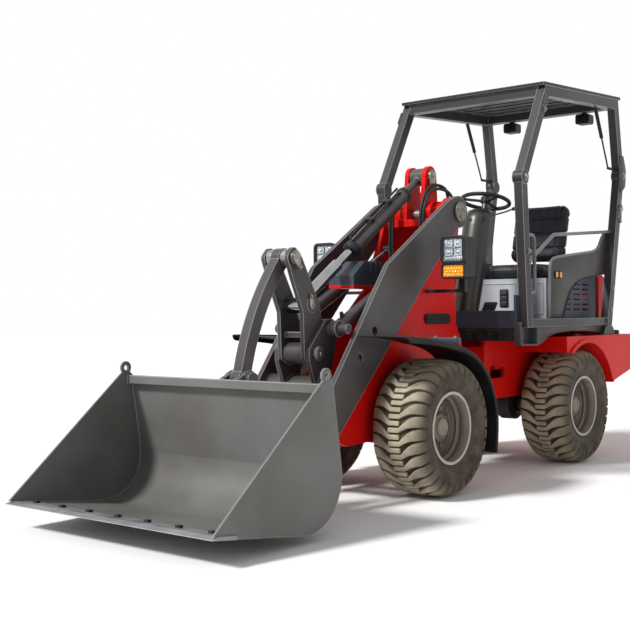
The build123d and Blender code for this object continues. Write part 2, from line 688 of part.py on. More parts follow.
with BuildPart() as steer_rod:
    bar((STEER_FOOT[0] + 140, foot_y, STEER_Z), (STEER_HEAD[0] - 10, foot_y, STEER_Z), STEER_ROD_RADIUS)
    post(*STEER_HEAD, 28, STEER_Z - 34, STEER_Z + 34)
write(steer_rod, "steer_rod")

# Front mudguards, each with its carrying tube
MUDGUARD_IN = 312
MUDGUARD_OUT = 628
MUDGUARD_SHEET = 12
MUDGUARD_BEND = 260
MUDGUARD_LIP = 14
MUDGUARD_POINTS = (
    # angle about the wheel from straight ahead, clearance above the tread
    (44.9, 336),
    (76.1, 136),
    (95.7, 84),
    (124.0, 56),
    (157.0, 36),
    (202.1, 110),
)
MUDGUARD_PATH = [
    (
        AXLE_REACH + (TYRE_RADIUS + clear) * cos(radians(angle)),
        AXLE_Z + (TYRE_RADIUS + clear) * sin(radians(angle)),
    )
    for angle, clear in MUDGUARD_POINTS
]
STAY = along(MUDGUARD_PATH[2], MUDGUARD_PATH[3], 70)
STAY_RADIUS = 20
for name, sign in (("left", 1), ("right", -1)):
    with BuildPart() as mudguard:
        sheet = spread(sign, MUDGUARD_IN, MUDGUARD_OUT)
        lip = spread(sign, MUDGUARD_OUT - MUDGUARD_LIP, MUDGUARD_OUT)
        strip(MUDGUARD_PATH, MUDGUARD_SHEET, *sheet, bend=MUDGUARD_BEND)
        strip(MUDGUARD_PATH, MUDGUARD_SHEET + 2 * MUDGUARD_LIP, *lip, bend=MUDGUARD_BEND)
        shaft((STAY[0], STAY[1] - STAY_RADIUS), STAY_RADIUS, *spread(sign, FRAME_Y, MUDGUARD_OUT - 60))
    write(mudguard, f"mudguard_{name}")

# Headlights on brackets that pass under the arms
LAMP_X = (580, 690)
LAMP_Y = (400, 560)
LAMP_LENS_Z = (1345, 1490)
LAMP_AMBER_Z = (1258, 1338)
LAMP_CORNER = 24
STALK_X = (560, 600)
STALK_Z = (1170, 1190)
with BuildPart() as headlights:
    for sign in SIDES:
        low, high = spread(sign, *LAMP_Y)
        pod(LAMP_X, (low, high), (LAMP_AMBER_Z[0] - 8, LAMP_LENS_Z[1] + 8), LAMP_CORNER)
        block(STALK_X, spread(sign, FRAME_Y, LAMP_Y[0] + 100), STALK_Z)
        block(STALK_X, spread(sign, LAMP_Y[0] + 60, LAMP_Y[0] + 100), (STALK_Z[0], LAMP_AMBER_Z[0]))
        inset = spread(sign, LAMP_Y[0] + 10, LAMP_Y[1] - 10)
        for z in (LAMP_LENS_Z, LAMP_AMBER_Z):
            pod((LAMP_X[1] - 20, LAMP_X[1]), inset, z, LAMP_CORNER / 2, Mode.SUBTRACT)
write(headlights, "headlights")

for name, z in (("headlight_lenses", LAMP_LENS_Z), ("indicator_lenses", LAMP_AMBER_Z)):
    with BuildPart() as lenses:
        for sign in SIDES:
            across = spread(sign, LAMP_Y[0] + 10, LAMP_Y[1] - 10)
            pod((LAMP_X[1] - 20, LAMP_X[1] + 6), across, z, LAMP_CORNER / 2)
    write(lenses, name)

# Valve cover on its shelf between the arms
with BuildPart() as valve_cover:
    plate(((620, 1213), (1150, 1213), (1150, 1270), (1040, 1355), (620, 1355)), -90, 90)
    for x in (880, 930, 980):
        block((x, x + 14), (-90, 90), (1300, 1355), Mode.SUBTRACT)
write(valve_cover, "valve_cover")

# Rear frame: side plates, cross plates, hinge lugs and steering lugs
REAR_TOP = FLOOR_Z - FLOOR_PLATE
REAR_OUTLINE = (
    (REAR_FACE, AXLE_PAD_TOP),
    (REAR_FACE, 820),
    (-140, REAR_TOP),
    (FLOOR_REAR, REAR_TOP),
    (FLOOR_REAR, DECK_Z),
    (REAR_PLATE, DECK_Z),
    (REAR_PLATE, AXLE_PAD_TOP + 70),
    (REAR_PLATE + 80, AXLE_PAD_TOP),
)
ENGINE_FOOT = AXLE_PAD_TOP + 50
ENGINE_X = (REAR_PLATE + 20, REAR_PLATE + 620)
with BuildPart() as rear_frame:
    for sign in SIDES:
        plate(REAR_OUTLINE, *spread(sign, FRAME_IN, FRAME_Y))
        with BuildSketch(side(FRAME_Y if sign > 0 else -FRAME_IN)) as slot:
            with Locations(at(-280, 650)):
                SlotOverall(210, 90)
        extrude(slot.sketch, amount=FRAME_PLATE, mode=Mode.SUBTRACT)
    face = (REAR_FACE - 20, REAR_FACE)
    block(face, (-FRAME_IN, FRAME_IN), (AXLE_PAD_TOP - 15, 820))
    block(face, (5, FRAME_IN), (STEER_Z - 55, STEER_Z + 55), Mode.SUBTRACT)
    block((REAR_PLATE, ENGINE_X[0]), (-FRAME_IN, FRAME_IN), (AXLE_PAD_TOP + 70, DECK_Z))
    block(ENGINE_X, (-FRAME_IN, FRAME_IN), (ENGINE_FOOT - 20, ENGINE_FOOT))
    for low in (UPPER_LUG_Z - 5 - HINGE_LUG, LOWER_LUG_Z + HINGE_LUG + 5):
        block((REAR_FACE, 0), (-HINGE_LUG_RADIUS, HINGE_LUG_RADIUS), (low, low + HINGE_LUG))
        post(0, 0, HINGE_LUG_RADIUS, low, low + HINGE_LUG)
        post(0, 0, HINGE_PIN_RADIUS + RUN_GAP, low, low + HINGE_LUG, Mode.SUBTRACT)
    for low in (STEER_Z - 66, STEER_Z + 38):
        block((STEER_FOOT[0] - 40, STEER_FOOT[0] + 40), (STEER_FOOT[1] - 40, FRAME_IN), (low, low + 28))
    post(*STEER_FOOT, 16, STEER_Z - 66, STEER_Z + 66)
write(rear_frame, "rear_frame")

# Counterweight and rear mudguards in one casting, with the towing slot and arch lips
TAIL_Y = 600
TAIL_FOOT = 600
ARCH_RADIUS = TYRE_RADIUS + 46.5
ARCH_LIP = 26
LIP_STAND = 12
TOW_PIN_X = -TAIL_REACH + 30
TOW_PIN_RADIUS = 16
REAR_HUB = (-AXLE_REACH, AXLE_Z)
WING_FRONT = -AXLE_REACH + 313
WING_OUTLINE = (
    (WING_FRONT, DECK_Z),
    (-TAIL_REACH, DECK_Z),
    (-TAIL_REACH, TAIL_FOOT + 20),
    (-TAIL_REACH + 100, TAIL_FOOT - 3),
    (-AXLE_REACH - 315, TAIL_FOOT - 86),
    (-AXLE_REACH - 315, DECK_Z - 180),
    (WING_FRONT, DECK_Z - 100),
)
with BuildPart() as counterweight:
    for sign in SIDES:
        plate(WING_OUTLINE, *spread(sign, FRAME_Y, TAIL_Y))
        hollow_x = (-TAIL_REACH + TAIL_DEPTH, -AXLE_REACH - ARCH_RADIUS + 10)
        block(hollow_x, spread(sign, FRAME_Y, TAIL_Y - 40), (TAIL_FOOT + 40, DECK_Z - 30), Mode.SUBTRACT)
    shaft(REAR_HUB, ARCH_RADIUS, -TAIL_Y, TAIL_Y, Mode.SUBTRACT)
    for sign in SIDES:
        low, high = spread(sign, TAIL_Y - LIP_STAND, TAIL_Y + LIP_STAND)
        with BuildSketch(side(high)) as lip:
            with BuildLine():
                Polyline(*[at(*p) for p in WING_OUTLINE], close=True)
            make_face()
            with Locations(at(*REAR_HUB)):
                Circle(ARCH_RADIUS + ARCH_LIP, mode=Mode.INTERSECT)
                Circle(ARCH_RADIUS, mode=Mode.SUBTRACT)
        extrude(lip.sketch, amount=high - low)
    block((-TAIL_REACH, REAR_PLATE), (-FRAME_Y, FRAME_Y), (TAIL_FOOT, DECK_Z))
    block((-TAIL_REACH, TOW_PIN_X + 30), (-60, 60), (TAIL_FOOT + 100, TAIL_FOOT + 150), Mode.SUBTRACT)
    post(TOW_PIN_X, 0, TOW_PIN_RADIUS, TAIL_FOOT, DECK_Z, Mode.SUBTRACT)
write(counterweight, "counterweight")

RADIATOR_X = (ENGINE_X[0] + 10, ENGINE_X[0] + 70)
with BuildPart() as engine_block:
    block((RADIATOR_X[1], ENGINE_X[1] - 10), (-140, 140), (ENGINE_FOOT, REAR_TOP - 50))
    block(RADIATOR_X, (-190, 190), (ENGINE_FOOT, DECK_Z + 270))
write(engine_block, "engine_block")

# Operator's platform: a tub with a front fascia and a kick panel by each post
FASCIA = 70
KICK = 170
KICK_SHEET = 14
with BuildPart() as platform:
    block((FLOOR_REAR, FLOOR_FRONT), (-FLOOR_HALF, FLOOR_HALF), (REAR_TOP, FLOOR_Z))
    block((FLOOR_FRONT - KICK_SHEET, FLOOR_FRONT), (-FLOOR_HALF, FLOOR_HALF), (FLOOR_Z, FLOOR_Z + FASCIA))
    kick_outline = (
        (FLOOR_FRONT, FLOOR_Z),
        (FLOOR_FRONT, FLOOR_Z + KICK),
        (FLOOR_FRONT - 0.6 * KICK, FLOOR_Z + KICK),
        (FLOOR_FRONT - 1.3 * KICK, FLOOR_Z),
    )
    for sign in SIDES:
        plate(kick_outline, *spread(sign, FLOOR_HALF - KICK_SHEET, FLOOR_HALF))
write(platform, "platform")

# Step boxes, hoop panels and louvred covers beside the seat
STEP_CLEAR = 90
STEP_X = (WING_FRONT + STEP_CLEAR, FLOOR_FRONT - 50)
STEP_FOOT = REAR_TOP - 260
STEP_OUT = FLOOR_HALF - 10
STEP_WALL = 10
STEP_BACK = FLOOR_HALF - 160
HOOP_FRONT = FLOOR_FRONT - 486
HOOP_REAR = FLOOR_REAR + 2
HOOP_SHEET = 16
HOOP_OUTLINE = (
    # share of the way from front to rear, height above the floor
    (0.016, 0),
    (0.0, 395),
    (0.296, 487),
    (0.861, 580),
    (1.0, 615),
    (1.0, 310),
    (0.56, 270),
    (0.333, 165),
    (0.197, 60),
    (0.186, 0),
)
for name, sign in (("left", 1), ("right", -1)):
    with BuildPart() as step_box:
        block(STEP_X, spread(sign, FRAME_Y, STEP_OUT), (STEP_FOOT, REAR_TOP))
        inside = (STEP_X[0] + STEP_WALL, STEP_X[1] - STEP_WALL)
        tread_x = (STEP_X[0] + 70, STEP_X[1] - 50)
        walls = (STEP_FOOT + STEP_WALL, REAR_TOP - STEP_WALL)
        block(inside, spread(sign, FRAME_Y, STEP_BACK - STEP_WALL), walls, Mode.SUBTRACT)
        block(tread_x, spread(sign, STEP_BACK, STEP_OUT), (STEP_FOOT + 50, REAR_TOP - 50), Mode.SUBTRACT)
    write(step_box, f"step_box_{name}")
    with BuildPart() as side_panel:
        outline = [(HOOP_FRONT + share * (HOOP_REAR - HOOP_FRONT), FLOOR_Z + z) for share, z in HOOP_OUTLINE]
        plate(outline, *spread(sign, FLOOR_HALF - 2 - HOOP_SHEET, FLOOR_HALF - 2), corner=40)
    write(side_panel, f"side_panel_{name}")

COVER_IN = FLOOR_HALF - 80
COVER_SHEET = 18
COVER_X = (FLOOR_REAR + 2, FLOOR_REAR + 690)
COVER_TOP = FLOOR_Z + 330
with BuildPart() as louvre_panels:
    for sign in SIDES:
        low, high = spread(sign, COVER_IN, COVER_IN + COVER_SHEET)
        block(COVER_X, (low, high), (FLOOR_Z, COVER_TOP))
        with BuildSketch(side(high)) as vents:
            with Locations(at((COVER_X[0] + COVER_X[1]) / 2, (FLOOR_Z + COVER_TOP) / 2)):
                with GridLocations(150, 36, 3, 6):
                    SlotOverall(110, 14)
        extrude(vents.sketch, amount=COVER_SHEET, mode=Mode.SUBTRACT)
write(louvre_panels, "louvre_panels")

# Seat on its box, control console and pedals
SEAT_Z = FLOOR_Z + 300
SEAT_HALF = FLOOR_HALF - 200
SEAT_WALL = 25
SEAT_BOX_X = (FLOOR_REAR + 2, FLOOR_REAR + 540)
CUSHION_TOP = SEAT_Z + 110
with BuildPart() as seat_base:
    block(SEAT_BOX_X, (-SEAT_HALF, SEAT_HALF), (FLOOR_Z, SEAT_Z))
    hollow_x = (SEAT_BOX_X[0], SEAT_BOX_X[1] - SEAT_WALL)
    hollow_z = (FLOOR_Z + SEAT_WALL, SEAT_Z - SEAT_WALL)
    block(hollow_x, (SEAT_WALL - SEAT_HALF, SEAT_HALF - SEAT_WALL), hollow_z, Mode.SUBTRACT)
write(seat_base, "seat_base")

with BuildPart() as seat_cushion:
    cushion_y = (50 - SEAT_HALF, SEAT_HALF - 50)
    block((FLOOR_REAR + 70, FLOOR_REAR + 520), cushion_y, (SEAT_Z + RUN_GAP, CUSHION_TOP), corner=60)
write(seat_cushion, "seat_cushion")

with BuildPart() as seat_back:
    back_foot = CUSHION_TOP + RUN_GAP
    back_top = back_foot + 480
    back_outline = (
        (FLOOR_REAR + 145, back_foot),
        (FLOOR_REAR + 35, back_foot),
        (FLOOR_REAR - 70, back_top),
        (FLOOR_REAR + 10, back_top),
    )
    plate(back_outline, 65 - SEAT_HALF, SEAT_HALF - 65)
    fillet(seat_back.edges().filter_by(Axis.X), 70)
write(seat_back, "seat_back")

KNOB_Y = -(COVER_IN + SEAT_HALF) / 2
KNOB_X = FLOOR_REAR + 500
CONSOLE_TOP = FLOOR_Z + 430
with BuildPart() as console:
    console_y = (2 - COVER_IN, -SEAT_HALF - 2)
    block((FLOOR_REAR + 250, FLOOR_REAR + 600), console_y, (FLOOR_Z, CONSOLE_TOP))
    bar((KNOB_X, KNOB_Y, CONSOLE_TOP - 5), (KNOB_X + 20, KNOB_Y, CONSOLE_TOP + 140), 14)
    bar((KNOB_X + 18, KNOB_Y, CONSOLE_TOP + 125), (KNOB_X + 28, KNOB_Y, CONSOLE_TOP + 190), 24)
write(console, "console")

PEDAL_X = FLOOR_FRONT - 120
PEDAL_OUTLINE = (
    # distance behind the pedal's foot, height above the floor
    (0, 0),
    (15, 0),
    (115, 120),
    (100, 128),
)
with BuildPart() as pedals:
    for y in (-190, 150):
        plate([(PEDAL_X - x, FLOOR_Z + z) for x, z in PEDAL_OUTLINE], y, y + 90)
write(pedals, "pedals")

# Steering column and wheel
COLUMN_TOP = (-505, 1712)
WHEEL_HUB = (-535, 1830)
STEERING_RADIUS = 165
COWL_SECTIONS = (
    # height, front station, rear station, half width
    (FLOOR_Z, -180, -450, 82),
    (COLUMN_TOP[1], -460, -550, 60),
)
with BuildPart() as steering_column:
    for z, front, rear, half in COWL_SECTIONS:
        with BuildSketch(Plane.XY.offset(z)):
            with Locations((HINGE_X + (front + rear) / 2, 0)):
                RectangleRounded(front - rear, 2 * half, 40)
    loft()
    collar = along(COLUMN_TOP, WHEEL_HUB, -20)
    end = along(WHEEL_HUB, COLUMN_TOP, 12 + RUN_GAP)
    bar((collar[0], 0, collar[1]), (end[0], 0, end[1]), 24)
write(steering_column, "steering_column")

wheel_axis = Vector(WHEEL_HUB[0] - COLUMN_TOP[0], 0, WHEEL_HUB[1] - COLUMN_TOP[1])
wheel_plane = Plane(origin=(HINGE_X + WHEEL_HUB[0], 0, WHEEL_HUB[1]), x_dir=(0, 1, 0), z_dir=wheel_axis)
with BuildPart() as steering_wheel:
    with BuildSketch(wheel_plane.offset(-12)):
        Circle(36)
    extrude(amount=34)
    with BuildSketch(wheel_plane.offset(-6)):
        with PolarLocations(STEERING_RADIUS / 2, 3, start_angle=90):
            Rectangle(STEERING_RADIUS, 26)
    extrude(amount=12)
    with BuildSketch(Plane(origin=wheel_plane.origin, x_dir=wheel_plane.x_dir, z_dir=wheel_plane.y_dir)):
        with Locations((STEERING_RADIUS, 0)):
            Circle(14)
    revolve(axis=Axis(wheel_plane.origin, wheel_plane.z_dir))
write(steering_wheel, "steering_wheel")

# Roll frame: posts with a knee joint each, roof rails, sills and cross bars, all square tube
POST_WALL = 6
KNEE_RADIUS = 46
KNEE_STAND = 6
SILL_RISE = 14
FRONT_POST = ((-115, REAR_TOP), (-45, 1910), (-375, 2510))
REAR_POST = ((FLOOR_REAR - 100, 2585), (FLOOR_REAR - 190, 2060), (FLOOR_REAR + 57, DECK_Z))
ROOF_SLOPE = (REAR_POST[0][1] - FRONT_POST[2][1]) / (FRONT_POST[2][0] - REAR_POST[0][0])
CROSS_BAR = 64


def roof_z(x):
    """Height of the roof's underside at a station."""
    rise = POST_DEPTH / 2 * hypot(1, ROOF_SLOPE)
    return FRONT_POST[2][1] + rise + (FRONT_POST[2][0] - x) * ROOF_SLOPE


with BuildPart() as rops_frame:
    for sign in SIDES:
        layer = spread(sign, FLOOR_HALF, POST_OUT)
        core = spread(sign, FLOOR_HALF + POST_WALL, POST_OUT - POST_WALL)
        strip(FRONT_POST + REAR_POST, POST_DEPTH, *layer)
        strip(FRONT_POST + REAR_POST, POST_DEPTH - 2 * POST_WALL, *core, Mode.SUBTRACT)
        foot = REAR_POST[2][0]
        foot_top = DECK_Z + 60
        plate(((foot - 107, DECK_Z), (foot + 93, DECK_Z), (foot + 53, foot_top), (foot - 67, foot_top)), *layer)
        sill_y = spread(sign, FLOOR_HALF, POST_OUT - 2 * POST_WALL)
        block((foot, FRONT_POST[0][0]), sill_y, (REAR_TOP, FLOOR_Z + SILL_RISE))
        for knee in (FRONT_POST[1], REAR_POST[1]):
            shaft(knee, KNEE_RADIUS, *spread(sign, FLOOR_HALF - KNEE_STAND, POST_OUT + KNEE_STAND))
    under_deck = (DECK_Z - 200, DECK_Z)
    block((-TAIL_REACH, 0), (-POST_OUT, POST_OUT), under_deck, Mode.SUBTRACT)
    for x, z in (FRONT_POST[2], REAR_POST[0]):
        beam_z = (z - CROSS_BAR / 2, z + CROSS_BAR / 2 - 4)
        beam_half = FLOOR_HALF + POST_WALL
        block((x - POST_DEPTH / 2, x + POST_DEPTH / 2), (-beam_half, beam_half), beam_z)
write(rops_frame, "rops_frame")

ROOF_X = (REAR_POST[0][0] - 70, FRONT_POST[2][0] + 55)
ROOF_RIBS = 6
ROOF_RIB = 30
ROOF_DISH = 14
with BuildPart() as roof_panel:
    rear, front = ROOF_X
    outline = (
        (front, roof_z(front)),
        (rear, roof_z(rear)),
        (rear, roof_z(rear) + ROOF_PLATE),
        (front, roof_z(front) + ROOF_PLATE),
    )
    plate(outline, -POST_OUT, POST_OUT)
    dish_from = REAR_POST[0][0] + POST_DEPTH
    dish_step = (FRONT_POST[2][0] - POST_DEPTH - dish_from) / ROOF_RIBS
    for n in range(ROOF_RIBS):
        near = dish_from + n * dish_step
        far = near + dish_step - ROOF_RIB
        dish = (
            (near, roof_z(near)),
            (far, roof_z(far)),
            (far, roof_z(far) + ROOF_DISH),
            (near, roof_z(near) + ROOF_DISH),
        )
        plate(dish, ROOF_RIB - FLOOR_HALF, FLOOR_HALF - ROOF_RIB, Mode.SUBTRACT)
write(roof_panel, "roof_panel")

LAMP_DROP = REAR_POST[0][1] - CROSS_BAR / 2
with BuildPart() as work_lights:
    for sign in SIDES:
        lamp_x = (REAR_POST[0][0] - 40, REAR_POST[0][0] + 40)
        pod(lamp_x, spread(sign, 250, 360), (LAMP_DROP - 88, LAMP_DROP - 14), 16)
        block((REAR_POST[0][0] - 12, REAR_POST[0][0] + 12), spread(sign, 290, 320), (LAMP_DROP - 16, LAMP_DROP))
write(work_lights, "work_lights")

# Guard rails and grab loops in bent tube, and the gas struts of the folding roof
RAIL_RADIUS = 12
RAIL_Y = FLOOR_HALF + RAIL_RADIUS
LOOP_Y = POST_OUT - RAIL_RADIUS - 2
RAIL_Z = 1640
LOOP_Z = (1175, 1545)
# How far the square-cut tube ends stand off the leaning posts so that they only just touch
RAIL_REAR_SET = 4.5
RAIL_FRONT_SET = 5.7
LOOP_SET = 1.2
STRUT_TOP_SET = 6.9
STRUT_LOW_SET = 2.4


def post_x(foot, head, z):
    """Station of a post's middle line at a height."""
    return foot[0] + (head[0] - foot[0]) * (z - foot[1]) / (head[1] - foot[1])


with BuildPart() as handrails:
    rail_rear = post_x(REAR_POST[2], REAR_POST[1], RAIL_Z) + POST_DEPTH / 2 + RAIL_REAR_SET
    rail_front = post_x(*FRONT_POST[:2], RAIL_Z - 300) - POST_DEPTH / 2 - RAIL_FRONT_SET
    loop_low = post_x(*FRONT_POST[:2], LOOP_Z[0]) - POST_DEPTH / 2 - LOOP_SET
    loop_high = post_x(*FRONT_POST[:2], LOOP_Z[1]) - POST_DEPTH / 2 - LOOP_SET
    for sign in SIDES:
        rail = (
            (rail_rear, sign * RAIL_Y, RAIL_Z),
            (rail_front - 420, sign * RAIL_Y, RAIL_Z - 70),
            (rail_front - 120, sign * RAIL_Y, RAIL_Z - 230),
            (rail_front, sign * RAIL_Y, RAIL_Z - 300),
        )
        tube(rail, 60, RAIL_RADIUS)
        loop = (
            (loop_high, sign * LOOP_Y, LOOP_Z[1]),
            (loop_high - 90, sign * LOOP_Y, LOOP_Z[1]),
            (loop_low - 65, sign * LOOP_Y, LOOP_Z[0]),
            (loop_low, sign * LOOP_Y, LOOP_Z[0]),
        )
        tube(loop, 36, RAIL_RADIUS)
write(handrails, "handrails")

STRUT_RADIUS = 13
STRUT_ROD_RADIUS = 6
STRUT_BRACKET = 10
STRUT_Y = (FLOOR_HALF + POST_OUT) / 2
STRUT_DROP = 480
STRUT_BACK = 310
with BuildPart() as gas_struts:
    for sign in SIDES:
        top_x = REAR_POST[0][0] + STRUT_BACK
        top_z = roof_z(top_x) - POST_DEPTH * hypot(1, ROOF_SLOPE) - STRUT_TOP_SET
        low_z = REAR_POST[0][1] - STRUT_DROP
        low_x = post_x(REAR_POST[1], REAR_POST[0], low_z) + POST_DEPTH / 2 + STRUT_LOW_SET
        top = (top_x, sign * STRUT_Y, top_z)
        middle = (top_x - 0.35 * STRUT_BACK, sign * STRUT_Y, top_z - 0.5 * (top_z - low_z))
        low = (top_x - 0.7 * STRUT_BACK, sign * STRUT_Y, low_z)
        bar(top, middle, STRUT_RADIUS)
        bar(middle, low, STRUT_ROD_RADIUS)
        bar(low, (low_x, sign * STRUT_Y, low_z), STRUT_BRACKET)
write(gas_struts, "gas_struts")

# Engine hood: a lid behind the seat, hinged on two knuckles along its front top edge
HOOD_HALF = FLOOR_HALF - 50
HOOD_SHEET = 14
HOOD_FRONT = FLOOR_REAR - 6
HOOD_REAR = REAR_PLATE - 20
HOOD_FOOT = DECK_Z + RUN_GAP
HOOD_TOP = DECK_Z + 465
KNUCKLE_RADIUS = 9
HOOD_OUTLINE = (
    (HOOD_FRONT, HOOD_TOP),
    (HOOD_REAR + 60, HOOD_TOP - 45),
    (HOOD_REAR, HOOD_TOP - 165),
    (HOOD_REAR, HOOD_FOOT),
    (HOOD_FRONT, HOOD_FOOT),
)
with BuildPart() as engine_hood:
    plate(HOOD_OUTLINE, -HOOD_HALF, HOOD_HALF)
    cavity = (
        (HOOD_FRONT, HOOD_TOP - HOOD_SHEET),
        (HOOD_REAR + 60 + HOOD_SHEET / 2, HOOD_TOP - 45 - HOOD_SHEET),
        (HOOD_REAR + HOOD_SHEET, HOOD_TOP - 165 - HOOD_SHEET / 2),
        (HOOD_REAR + HOOD_SHEET, HOOD_FOOT),
        (HOOD_FRONT, HOOD_FOOT),
    )
    plate(cavity, -HOOD_HALF + HOOD_SHEET, HOOD_HALF - HOOD_SHEET, Mode.SUBTRACT)
    with BuildSketch(Plane.YZ.offset(HINGE_X + HOOD_REAR)) as grille:
        with Locations((0, (HOOD_FOOT + HOOD_TOP - 165) / 2)):
            with GridLocations(60, 1, 8, 1):
                SlotOverall(200, 24, rotation=90)
    extrude(grille.sketch, amount=HOOD_SHEET, mode=Mode.SUBTRACT)
    for sign in SIDES:
        shaft((HOOD_FRONT, HOOD_TOP), KNUCKLE_RADIUS, *spread(sign, HOOD_HALF - 130, HOOD_HALF - 50))
write(engine_hood, "engine_hood")
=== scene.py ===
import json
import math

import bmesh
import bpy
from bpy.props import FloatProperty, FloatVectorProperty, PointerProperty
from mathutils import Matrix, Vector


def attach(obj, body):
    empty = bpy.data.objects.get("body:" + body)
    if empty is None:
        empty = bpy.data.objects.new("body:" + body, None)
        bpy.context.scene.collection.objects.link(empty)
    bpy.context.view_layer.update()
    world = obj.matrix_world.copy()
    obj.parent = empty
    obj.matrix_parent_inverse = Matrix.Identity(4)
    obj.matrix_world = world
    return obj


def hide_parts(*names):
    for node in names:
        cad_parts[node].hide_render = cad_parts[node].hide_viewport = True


bl_info = {
    "name": "Articulated loader dressing",
    "version": (1, 0, 0),
    "blender": (4, 5, 0),
    "location": "3D View > Sidebar > Loader",
    "description": "Finishes a compact articulated loader: paint, rubber, seat, hoses, lamps and fittings",
    "category": "Object",
}

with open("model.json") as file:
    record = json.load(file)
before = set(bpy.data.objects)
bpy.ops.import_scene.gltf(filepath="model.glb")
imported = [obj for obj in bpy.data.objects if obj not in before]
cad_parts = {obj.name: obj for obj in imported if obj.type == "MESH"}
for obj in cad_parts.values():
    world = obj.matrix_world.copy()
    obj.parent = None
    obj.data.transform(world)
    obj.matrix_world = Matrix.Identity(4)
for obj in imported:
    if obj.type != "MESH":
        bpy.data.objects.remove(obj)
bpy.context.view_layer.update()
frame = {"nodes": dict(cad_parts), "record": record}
NODES = frame["nodes"]
FRONT, REAR = "front_frame", "rear_frame"
MM = 0.001
# Vertices closer than this, in metres, become one
WELD = 1e-6
# Edges that turn by more than this are rounded
SHARP = math.radians(40)
AHEAD, ASIDE, UP = Vector((1, 0, 0)), Vector((0, 1, 0)), Vector((0, 0, 1))
SIDES = (1, -1)
NAMED_SIDES = (("left", 1), ("right", -1))
# Stations count forward from the articulation hinge, all in millimetres
HINGE_X = -655
AXLE = 873
TYRE_RADIUS = 393.5
WHEEL_Y = 435
BOOM_PIVOT = (300, 1680)
TOWER_PIN = (300, 1920)
LEVER_PIVOT = (1535, 832)
ROD_EYE = (1539, 1098)
LINK_TOP = (1686, 1351)
BUCKET_PIVOT = (1883, 291)
LIFT_FOOT = (420, 1455)
LIFT_HEAD = (1420, 965)
LIFT_Y = 170
WHEELS = (("front_left", AXLE, 1), ("front_right", AXLE, -1), ("rear_left", -AXLE, 1), ("rear_right", -AXLE, -1))
# Colour sockets of the Mix node, whose float and vector sockets come first
MIX_A, MIX_B, MIX_OUT = 6, 7, 2


def linear(code):
    """An sRGB hex colour as linear red, green and blue."""
    parts = [int(code[i:i + 2], 16) / 255 for i in (1, 3, 5)]
    return tuple(c / 12.92 if c <= 0.04045 else ((c + 0.055) / 1.055) ** 2.4 for c in parts)


class LoaderColours(bpy.types.PropertyGroup):
    """Paint and plastic colours of the loader."""

    red: FloatVectorProperty(
        name="Frame red", description="Enamel on both frame halves", subtype="COLOR", default=linear("#DA1510"))
    gunmetal: FloatVectorProperty(
        name="Gunmetal", description="Powder coat on the boom and linkage", subtype="COLOR", default=linear("#4A4445"))
    bucket: FloatVectorProperty(
        name="Bucket grey", description="Paint of the bucket", subtype="COLOR", default=linear("#6A6864"))
    rubber: FloatVectorProperty(
        name="Tyre rubber", description="Dusty tyre rubber", subtype="COLOR", default=linear("#453D35"))
    rim: FloatVectorProperty(
        name="Rim silver", description="Lacquer of the wheel rims", subtype="COLOR", default=linear("#B8B3AB"))


class LoaderStage(bpy.types.PropertyGroup):
    """Light and camera of the studio."""

    floor: FloatVectorProperty(
        name="Floor", description="Pale studio floor", subtype="COLOR", default=linear("#F4F4F4"))
    key: FloatProperty(name="Key light", description="Strength of the soft key", default=3.6, min=0)
    fill: FloatProperty(name="Fill light", description="Strength of the surrounding light", default=0.46, min=0)
    lens: FloatProperty(
        name="Lens", description="Focal length of the camera", default=60.77, min=1, unit="CAMERA")


def add(tree, kind, links=None, **settings):
    """Add a shader node; links give an input its value or the socket that feeds it."""
    node = tree.nodes.new("ShaderNode" + kind)
    for name, value in settings.items():
        setattr(node, name, value)
    for name, value in (links or {}).items():
        if isinstance(value, bpy.types.NodeSocket):
            tree.links.new(value, node.inputs[name])
        else:
            node.inputs[name].default_value = value
    return node


def paint(code):
    """An opaque colour from a hex code, or from the name of one of the loader's colours."""
    colour = linear(code) if code.startswith("#") else getattr(bpy.context.scene.loader_colours, code)
    return (*colour, 1.0)


